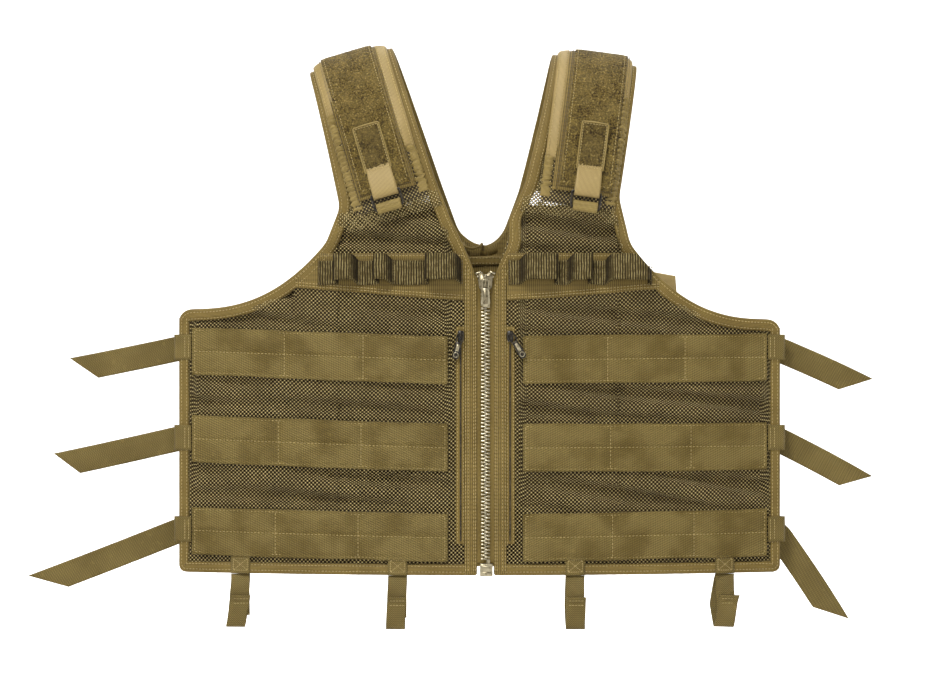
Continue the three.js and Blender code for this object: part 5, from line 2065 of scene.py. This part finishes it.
        path = catmull([
            (12.6, 70), (13.4, 60), (13.5, 44), (14.0, 30), (15.2, 22), (17.3, 13), (18.5, 5), (18.6, 0.5),
            (17.0, -2.7), (15.0, -3.1), (12.9, -1.6), (12.3, 2.5), (12.4, 14),
        ], 8)
        path = resample(path, 1.1)
        run = unit(np.gradient(path, axis=0))
        normal = np.stack([run[:, 1], -run[:, 0]], -1)
        if normal[20, 0] < 0:
            normal = -normal
        shares = np.linspace(-12.4, 12.4, 14)
        length = along_of(path)
        layers = []
        for off in (0.6, -0.6):
            moved = path + normal * off
            wide = shares[None] * (1 + 0.01 * smooth_noise(9, length, 9.0))[:, None]
            layers.append(at(wide, moved[:, 1:], moved[:, :1]))
        weave = np.stack(np.broadcast_arrays(shares[None], length[:, None]), -1)
        cloth.slab(layers[0], layers[1], weave)
        generator = np.random.default_rng(77 + half.sign)
        s = np.arange(23.5, 71.5, 0.9)
        wide = 13.4
        a = np.linspace(-wide, wide, 26)
        fuzz = generator.uniform(-0.28, 0.28, (len(s), len(a)))
        rim = 0.7 * (np.abs(a) / wide) ** 8
        n = 15.0 + fuzz - rim[None] - 0.4 * ((s - 47) / 24)[:, None] ** 4
        grid_s = np.broadcast_to(s[:, None], n.shape)
        grid_a = np.broadcast_to(a, n.shape) * (1 + 0.012 * generator.uniform(-1, 1, len(s)))[:, None]
        cloth.slab(at(grid_a, grid_s, n), at(grid_a, grid_s, n - 1.4), np.stack([grid_a, grid_s], -1), 1)
        frame_line = [(-11.6, 25.5), (-11.6, 69.3), (11.6, 69.3), (11.6, 25.5), (-11.6, 25.5)]
        for (a0, s0), (a1, s1) in zip(frame_line[:-1], frame_line[1:], strict=True):
            count = 16
            line = at(np.linspace(a0, a1, count), np.linspace(s0, s1, count), 15.05)
            cloth.stitches(line, out, pitch=2.9, length=2.5, width=1.0, rise=0.6, slot=2)
        corners = np.array([
            (-13.0, 23.8), (-13.2, 47), (-13.0, 70.6), (0, 71.2), (13.0, 70.6), (13.2, 47), (13.0, 23.8),
        ])
        rim_line = resample(corners, 2.0)
        tube(cloth, at(rim_line[:, 0], rim_line[:, 1], 15.0), 0.95, 7, 0.8, up=out, slot=3)
        piece = cloth.build(
            f"{self.label}_ring_tab_cloth",
            self.cloths.satin,
            self.cloths.pile_patch,
            self.cloths.thread,
            self.cloths.gathered,
        )
        place(piece, ROOT, "webbing", f"{self.label}_ring_tab")
        ring = Cloth()
        outline = catmull([
            (-14.2, 0.6), (-14.3, -6), (-14.0, -12), (-12.2, -15.2), (-8, -15.6), (0, -15.6), (8, -15.6),
            (12.2, -15.2), (14.0, -12), (14.3, -6), (14.2, 0.6),
        ], 5)
        outline = np.vstack([outline, [(9, 0.2), (0, 0.1), (-9, 0.2)]])
        line = at(outline[:, 0], outline[:, 1], 15.3)
        angle = np.linspace(0, 2 * np.pi, 10, endpoint=False)
        profile = np.column_stack([np.cos(angle) * 1.25, np.sin(angle) * 1.05])
        run = unit(np.roll(line, -1, 0) - np.roll(line, 1, 0))
        first = unit(np.cross(run, out))
        ring.sweep(line, first, np.broadcast_to(out, line.shape), profile, closed=True)
        turn = np.linspace(0, 2 * np.pi, 28, endpoint=False)
        widths = np.linspace(-12.2, 12.2, 20)
        swell = 0.25 * smooth_noise(88, widths, 6.0)
        tubes = []
        for radius in (3.6, 2.3):
            height = -13.4 + (radius + swell[:, None]) * np.sin(turn) * 1.5
            stand = 15.3 + (radius + swell[:, None]) * np.cos(turn) * 0.9
            tubes.append(at(widths[:, None], height, stand))
        weave = np.stack(np.broadcast_arrays(widths[:, None], 3.3 * turn[None]), -1)
        closed = [np.concatenate([layer, layer[:, :1]], axis=1) for layer in tubes]
        ring.slab(closed[0], closed[1], np.concatenate([weave, weave[:, :1]], axis=1), 1)
        piece = ring.build(f"{self.label}_tab_ring", self.cloths.enamel, self.cloths.gathered)
        place(piece, f"{self.label}_ring", "dark", f"{self.label}_ring")

    def build(self) -> None:
        """Build and dress the whole shoulder."""
        self.net()
        self.pad()
        self.pile()
        self.ring_tab()


TAILS = {
    (Side.LEFT, Row.TOP): (12.0, 111.0, 27.0, 44.7),
    (Side.LEFT, Row.MIDDLE): (12.9, 127.0, 25.0, 41.5),
    (Side.LEFT, Row.BOTTOM): (21.6, 152.0, 38.0, 54.0),
    (Side.RIGHT, Row.TOP): (23.0, 95.0, 32.0, 46.2),
    (Side.RIGHT, Row.MIDDLE): (26.8, 94.0, 30.0, 44.0),
    (Side.RIGHT, Row.BOTTOM): (55.0, 71.0, 34.0, 49.5),
}


@dataclass(frozen=True)
class Straps:
    """The side adjusters and the back straps.

    Attributes:
        cloths: The materials.
        tails: Each tail's droop in degrees, its reach past the side edge, the length that its
            slanted end takes, and that end's slant in degrees.
        pivot: How far in from the front's side edge each lock turns.
    """

    cloths: Wardrobe
    tails: dict[tuple[Side, Row], tuple[float, float, float, float]] = field(default_factory=lambda: TAILS)
    pivot: float = 16.0

    @staticmethod
    def ribbon(
        cloth: Cloth, path: Array, low: Array, high: Array, thick: float = 1.3, bow: float = 0.25
    ) -> None:
        """Add webbing that stands on edge along a path seen from above.

        Args:
            cloth: The piece it is added to.
            path: N by 2 points, x and y.
            low: The height of its lower edge at each point.
            high: The height of its upper edge.
            thick: The webbing's thickness.
            bow: How far its middle bows out.
        """
        run = unit(np.gradient(path, axis=0))
        normal = np.stack([run[:, 1], -run[:, 0]], -1)
        levels = np.linspace(0, 1, 10)
        h = low[:, None] + (high - low)[:, None] * levels
        length = along_of(path)

        def layer(off: float) -> Array:
            """The webbing's face at a distance from its middle."""
            away = off + bow * np.sin(np.pi * levels)
            x = path[:, :1] + normal[:, :1] * away
            y = path[:, 1:] + normal[:, 1:] * away
            return np.stack([x, y, h], -1)

        weave = np.stack(np.broadcast_arrays(h - low[:, None], length[:, None]), -1)
        cloth.slab(layer(thick / 2), layer(-thick / 2), weave)

    def tab(self, half: Half, row: Row) -> None:
        """The tab round the front's side edge, looped round the ladder lock's outer bar.

        Args:
            half: Which half.
            row: Which row.
        """
        sign = half.sign
        level = STRAP_HEIGHTS[row]
        pivot = half.half - self.pivot
        face = -16 - 1.1
        angles = np.radians(np.linspace(-90, 90, 14))
        bend = np.column_stack([half.half + 1 + 4.2 * np.cos(angles), face + 4.2 + 4.2 * np.sin(angles)])
        start = half.half - 12
        around = np.radians(np.linspace(60, 360, 22))
        loop = np.column_stack([pivot + 2.6 * np.cos(around[::-1]), -1.5 + 2.6 * np.sin(around[::-1])])
        first = [(start, -(16 + 44 * (1 - (start / half.half) ** 2)) - 1.4)]
        path = np.vstack([first, bend, [(half.half - 4, -7.5)], [(pivot + 3.6, -2.6)], loop])
        path = resample(path, 1.2)
        path[:, 0] *= sign
        cloth = Cloth()
        low = np.full(len(path), level - 12.5)
        self.ribbon(cloth, path, low, low + 25.0, thick=1.2, bow=0.2)
        climb = np.linspace(level - 10, level + 10, 9)
        for out in (half.half - 9.5, half.half - 5.5):
            sew(cloth, front, sign * out, climb, 2.15, pitch=2.8)
        piece = cloth.build(f"{half.label}_{row.value}_tab_webbing", self.cloths.strap, self.cloths.thread)
        place(piece, ROOT, "webbing", f"{half.label}_{row.value}_tab")

    def lock(self, half: Half, row: Row) -> None:
        """The moulded ladder lock: two rails, a round bar and two grip bars.

        Args:
            half: Which half.
            row: Which row.
        """
        sign = half.sign
        level = STRAP_HEIGHTS[row]
        pivot = half.half - self.pivot
        cloth = Cloth()
        outline = np.array([
            (2.0, -1.6), (2.0, -0.4), (-1, 1.6), (-6, 5.2), (-9, 6.0), (-23, 6.0), (-24, 5.2), (-24, 0.8),
            (-23, 0), (-9, -2.0), (-4, -3.0), (1.0, -3.0),
        ])
        count = len(outline)
        for way in (-1, 1):
            layers = [(13.2, 0.88), (13.6, 1.0), (15.8, 1.0), (16.2, 0.88)]
            middle = outline.mean(0)
            points = []
            for up, scale in layers:
                flat = middle + (outline - middle) * scale
                height = np.full(count, level + way * up)
                points.append(np.column_stack([sign * (pivot + flat[:, 0]), flat[:, 1], height]))
            number = np.arange(4 * count).reshape(4, count)
            a, b = number[:-1], number[1:]
            faces = np.stack([a, np.roll(a, -1, 1), np.roll(b, -1, 1), b], -1).reshape(-1, 4).tolist()
            faces += [number[0][::-1].tolist(), number[3].tolist()]
            stacked = np.vstack(points)
            cloth.add(stacked, faces, stacked[:, :2])
        heights = np.linspace(level - 13.5, level + 13.5, 5)
        for out, y, radius, flat in ((0.0, -1.5, 1.5, 1.0), (-9.5, 5.1, 1.6, 0.6), (-22.0, 0.8, 2.0, 0.4)):
            line = np.column_stack([np.full(5, sign * (pivot + out)), np.full(5, y), heights])
            tube(cloth, line, radius, 12, flat, up=(0, 1, 0))
        name = f"{half.label}_{row.value}"
        piece = crease(cloth.build(f"{name}_ladder_lock", self.cloths.acetal), 0.25)
        place(piece, f"{name}_lock", "plastic", f"{name}_lock")

    def tail(self, half: Half, row: Row) -> None:
        """The strap through the lock, which droops to a slanted, melted end.

        Args:
            half: Which half.
            row: Which row.
        """
        sign = half.sign
        level = STRAP_HEIGHTS[row]
        drop, reach, cut, slant = self.tails[half.side, row]
        angle = math.radians(drop)
        begin = half.half - 78
        bend = half.half - 4
        straight = bend - begin
        slope_length = (half.half + reach - cut / 2 - bend) / math.cos(angle)
        total = straight + slope_length
        length = np.linspace(0, total, 110)
        blend_length = 26.0
        turn = angle * np.clip((length - straight + blend_length / 2) / blend_length, 0, 1)
        sag = -0.02 if half.side is Side.LEFT else 0.06
        droop = sag * np.clip((length - straight) / slope_length, 0, 1) ** 2
        heading = turn + droop
        step = np.gradient(length)
        x = begin + np.cumsum(step * np.cos(heading)) - step[0]
        z = level - np.cumsum(step * np.sin(heading))
        shares = np.linspace(-1, 1, 14)
        end_share = np.clip((length - (total - 24)) / 24, 0, 1)
        tilt = math.tan(math.radians(slant))
        offset = shares[None] * 12.5 * tilt * end_share[:, None]
        cx = x[:, None] + (shares[None] * 12.5) * np.sin(heading)[:, None]
        cz = z[:, None] + (shares[None] * 12.5) * np.cos(heading)[:, None]
        cx = cx + offset * np.cos(heading)[:, None]
        cz = cz - offset * np.sin(heading)[:, None]
        free = np.clip((length - straight - 6) / 30, 0, 1)
        curl = (0.55 * np.sin(length / 19 + level) + 0.25 * smooth_noise(int(level), length, 15.0)) * free
        y = 2.9 + curl[:, None] - 0.35 * free[:, None] * (1 - shares[None] ** 2)
        cloth = Cloth()
        outer = np.stack([sign * cx, y - 0.6, cz], -1)
        inner = np.stack([sign * cx, y + 0.6, cz], -1)
        weave = np.stack([np.broadcast_to(shares * 12.5, cx.shape), length[:, None] + offset], -1)
        cloth.slab(outer, inner, weave)
        name = f"{half.label}_{row.value}_tail"
        piece = cloth.build(f"{name}_webbing", self.cloths.strap)
        place(piece, name, "webbing", name)

    def back_strap(self, row: Row) -> None:
        """A strap across the back that turns forward round both side edges.

        Args:
            row: Which row.
        """
        level = STRAP_HEIGHTS[row]
        turned = []
        for half in HALVES:
            sign = half.sign
            edge = half.half - BACK_INSET
            y = 20 + 36 * (1 - (edge / half.half) ** 2) + 1.0
            angles = np.radians(np.linspace(90, -90, 10))
            bend = np.column_stack([edge + 1.2 + 3.2 * np.cos(angles), y - 3.2 + 3.2 * np.sin(angles)])
            tip = np.array([(edge - 10, y - 8.0), (edge - 24, y - 9.9)])
            path = np.vstack([bend, tip])
            path[:, 0] *= sign
            turned.append(path)
        outs = np.arange(-LEFT.half + BACK_INSET + 4, RIGHT.half - BACK_INSET - 4, 5.0)
        middle = back(outs, 0, 1.1)[:, :2]
        path = resample(np.vstack([turned[0][::-1], middle, turned[1]]), 2.4)
        cloth = Cloth()
        waver = 0.5 * smooth_noise(int(level) + 3, along_of(path), 60.0)
        low = level - 12.5 + waver
        self.ribbon(cloth, path, low, low + 25.0, thick=1.25, bow=-0.2)
        for out in (-LEFT.half + 32, -140.0, 0.0, 140.0, RIGHT.half - 32):
            climb = np.linspace(level - 10, level + 10, 9)
            sew(cloth, back, out, climb, 1.95, pitch=2.8)
        piece = cloth.build(f"back_{row.value}_webbing", self.cloths.strap, self.cloths.thread)
        place(piece, ROOT, "webbing", f"back_{row.value}_strap")

    def stray_tab(self) -> None:
        """A plain tape end that shows behind the right armhole, and a loose thread over it."""
        cloth = Cloth()
        shares = np.linspace(0, 1, 8)
        rows = np.linspace(0, 1, 14)
        s, t = np.meshgrid(shares, rows, indexing="ij")
        x = 158 + 32 * s - 1.5 * t
        h = 277 + 19 * t - 5.5 * s + 3.0
        y = -34 + 6 * s + 0.6 * np.sin(4 * s + 2 * t)
        outer = np.stack([x, y, h], -1)
        cloth.slab(outer, outer + [0, 1.1, 0], np.stack([h, x], -1))
        loose = catmull([
            (146, -51.8, 306.2), (154, -50.6, 304.4), (160, -49.2, 302.6), (167, -46.6, 300.2),
        ], 8)
        tube(cloth, loose, 0.35, 6, 1.0, slot=1)
        piece = cloth.build("right_tape_end", self.cloths.satin, self.cloths.thread)
        place(piece, ROOT, "facing")

    def build(self) -> None:
        """Build every strap."""
        for half in HALVES:
            for row in Row:
                self.tab(half, row)
                self.lock(half, row)
                self.tail(half, row)
        for row in Row:
            self.back_strap(row)
        self.stray_tab()


KEEPERS = {
    "left_outer": (-242.0, (0.0, -2.5, -5.0, 1.0), 1.5),
    "left_inner": (-86.0, (0.0, -1.5, -2.4, -0.6), 0.5),
    "right_inner": (88.0, (0.0, -0.8, 0.2, 1.0), 0.5),
    "right_outer": (237.0, (0.0, -5.0, -1.5, 4.5), 5.0),
}


@dataclass(frozen=True)
class Keepers:
    """The belt keepers under the hem, each a folded strap that closes on itself.

    Attributes:
        cloths: The materials.
        places: Each keeper's x, its sway along its length and its twist, as strip() takes them.
        wide: The webbing's width.
    """

    cloths: Wardrobe
    places: dict[str, tuple[float, tuple[float, ...], float]] = field(default_factory=lambda: KEEPERS)
    wide: float = 19.0

    def strip(
        self, cloth: Cloth, x: float, y: float, path: Array, wide: float, sway: Sequence[float],
        twist: float = 0.0,
    ) -> None:
        """Add webbing along a path of outward and height.

        Args:
            cloth: The piece it is added to.
            x: The middle of its width.
            y: The depth that outward is measured from.
            path: N by 2 points, outward and height.
            wide: Its width.
            sway: How far it lies to the right at its start, in the back, at the fold and at its end.
            twist: How far its right side comes forward at the bottom.
        """
        path = resample(catmull(path, 6), 1.2)
        run = unit(np.gradient(path, axis=0))
        normal = np.stack([run[:, 1], -run[:, 0]], -1)
        shares = np.linspace(-0.5, 0.5, 11)
        length = along_of(path)
        down = np.clip(-path[:, 1] / 50, 0, 1)
        waver = 0.25 * smooth_noise(int(abs(x)), length, 9.0)

        def layer(off: float) -> Array:
            """The webbing's face at a distance from its middle."""
            moved = path + normal * off
            shift = np.interp(length / length[-1], (0.0, 0.35, 0.6, 1.0), sway)
            across = x + shares[None] * wide + (shift + waver)[:, None]
            out = moved[:, :1] + twist * down[:, None] * shares[None]
            return np.stack(np.broadcast_arrays(across, y - out, moved[:, 1:]), -1)

        weave = np.stack(np.broadcast_arrays(shares[None] * wide, length[:, None]), -1)
        cloth.slab(layer(0.6), layer(-0.6), weave)

    def build(self) -> None:
        """Build each keeper and its sewn-on foot."""
        feet = Cloth()
        for name, (x, sway, twist) in self.places.items():
            half = LEFT if x < 0 else RIGHT
            y = -(16 + 44 * (1 - (x / half.half) ** 2)) + 1.5
            cloth = Cloth()
            long = [
                (-0.4, -1.6), (-4.2, -11), (-5.0, -30), (-3.8, -46), (-1.4, -52.6), (1.6, -53.2),
                (4.0, -49), (4.8, -38), (5.4, -28), (8.2, -22),
            ]
            self.strip(cloth, x, y, np.array(long), self.wide, sway, twist)
            short = [(0.6, -1.8), (2.8, -11), (3.4, -22), (3.4, -30), (3.4, -42)]
            follow = (0, 0, sway[3] * 0.2, sway[3] * 0.4)
            self.strip(cloth, x, y, np.array(short), self.wide - 0.8, follow, 0.3 * twist)
            across = np.linspace(-7.5, 7.5, 8) + x + sway[3] * 0.85
            for level, out in ((-25.5, 6.9), (-30, 5.6)):
                line = np.column_stack([across, np.full(8, y - out - 0.5), np.full(8, level)])
                cloth.stitches(line, np.array([0, -1.0, 0]), pitch=2.8, slot=1)
            piece = cloth.build(f"{name}_keeper_strap", self.cloths.strap, self.cloths.thread)
            place(piece, f"{name}_keeper", "webbing", f"{name}_keeper")
            levels = np.linspace(-1.0, 16.5, 12)
            outs = np.linspace(-self.wide / 2, self.wide / 2, 9) + x
            o, h = np.meshgrid(outs, levels, indexing="ij")
            rim = 0.25 * (np.abs(o - x) / 9.5) ** 6
            w = 2.4 - rim - 0.3 * (h > 14)
            w[:, 0] -= 0.4
            feet.slab(front(o, h, w), front(o, h, np.full(w.shape, 1.2)), np.stack([o - x, h], -1))
            corners = [(-7, 2.5), (-7, 14), (7, 14), (7, 2.5), (-7, 2.5), (7, 14), (-7, 14), (7, 2.5)]
            for (a0, h0), (a1, h1) in zip(corners[:-1], corners[1:], strict=True):
                xs = np.linspace(a0, a1, 10) + x
                hs = np.linspace(h0, h1, 10)
                sew(feet, front, xs, hs, 2.45, pitch=2.4, length=2.0)
        piece = feet.build("keeper_feet", self.cloths.strap, self.cloths.thread)
        place(piece, ROOT, "webbing")


@dataclass(frozen=True)
class Studio:
    """The pale room, its soft lights and the camera, in metres."""

    floor: float
    lens: float = 105.0
    sensor: float = 36.0
    eye: tuple[float, float, float] = (-0.0185, -2.724, -0.288)
    aim: tuple[float, float, float] = (0.0, 0.0, -0.3)

    def room(self) -> None:
        """A round floor that curves up into a pale wall far behind and before the vest."""
        rings = [
            (0.0, 0.0), (1.4, 0.0), (2.6, 0.01), (4.2, 0.13), (5.6, 0.5), (6.8, 1.25), (7.5, 2.5),
            (7.8, 5.0),
        ]
        profile = catmull(rings, 4)
        angle = np.linspace(0, 2 * np.pi, 64, endpoint=False)
        points = np.stack(np.broadcast_arrays(
            profile[:, :1] * np.cos(angle), profile[:, :1] * np.sin(angle), self.floor + profile[:, 1:]
        ), -1)
        count = len(profile)
        number = np.arange(count * 64).reshape(count, 64)
        a, b = number[:-1], number[1:]
        faces = np.stack([a, b, np.roll(b, -1, 1), np.roll(a, -1, 1)], -1).reshape(-1, 4)
        mesh = bpy.data.meshes.new("studio_paper")
        mesh.from_pydata(points.reshape(-1, 3).tolist(), [], faces.tolist())
        mesh.polygons.foreach_set("use_smooth", np.full(len(mesh.polygons), True))
        mesh.materials.append(StudioPaper().material())
        piece = bpy.data.objects.new("studio_paper", mesh)
        bpy.context.scene.collection.objects.link(piece)

    @staticmethod
    def lamp(
        name: str, at: Sequence[float], aim: Sequence[float], size: tuple[float, float], power: float
    ) -> None:
        """Add one soft area light.

        Args:
            name: Its name.
            at: Where it stands.
            aim: Where it points.
            size: Its width and height.
            power: Its power in watts.
        """
        data = bpy.data.lights.new(name, "AREA")
        data.shape = "RECTANGLE"
        data.size, data.size_y = size
        data.energy = power
        piece = bpy.data.objects.new(name, data)
        piece.location = at
        piece.rotation_euler = (Vector(aim) - Vector(at)).to_track_quat("-Z", "Y").to_euler()
        piece.visible_camera = False
        bpy.context.scene.collection.objects.link(piece)

    def build(self) -> None:
        """Build the room, the lights, the world and the camera."""
        self.room()
        self.lamp("key_softbox", (-0.9, -2.1, 2.3), self.aim, (0.8, 0.8), 118.0)
        self.lamp("fill_softbox", (2.4, -2.4, 0.6), self.aim, (1.8, 1.8), 8.0)
        self.lamp("top_softbox", (0.0, 0.7, 2.6), self.aim, (1.6, 1.6), 55.0)
        self.lamp("back_softbox", (0.4, 2.8, 1.0), self.aim, (2.0, 2.0), 22.0)
        for number in range(4):
            angle = math.radians(90 * number + 90)
            x, y = math.cos(angle), math.sin(angle)
            power = 420.0 if number == 0 else 110.0
            near, far = (2.0 * x, 2.0 * y, 2.4), (7.0 * x, 7.0 * y, 0.6)
            self.lamp(f"wall_wash_{number}", near, far, (3.0, 1.6), power)
        world = bpy.data.worlds.new("pale_room")
        world.use_nodes = True
        ground = world.node_tree.nodes["Background"]
        ground.inputs["Color"].default_value = (1.0, 1.0, 1.0, 1.0)
        ground.inputs["Strength"].default_value = 0.3
        scene = bpy.context.scene
        scene.world = world
        scene.view_settings.view_transform = "Standard"
        data = bpy.data.cameras.new("camera")
        data.lens = self.lens
        data.sensor_width = self.sensor
        data.clip_end = 60.0
        camera = bpy.data.objects.new("camera", data)
        camera.location = self.eye
        camera.rotation_euler = (math.pi / 2, 0.0, 0.0)
        bpy.context.scene.collection.objects.link(camera)
        scene.camera = camera


def main() -> None:
    """Build the vest and its room."""
    logging.basicConfig(level=logging.INFO, format="%(name)s %(message)s")
    cloths = Wardrobe()
    Panels(cloths).build()
    RowsAndBands(cloths).build()
    Zips(cloths).build()
    for half in HALVES:
        Shoulder(half, cloths).build()
    Straps(cloths).build()
    Keepers(cloths).build()
    Studio(CAD_BOX[0].z - 0.3).build()


if __name__ == "__main__":
    main()
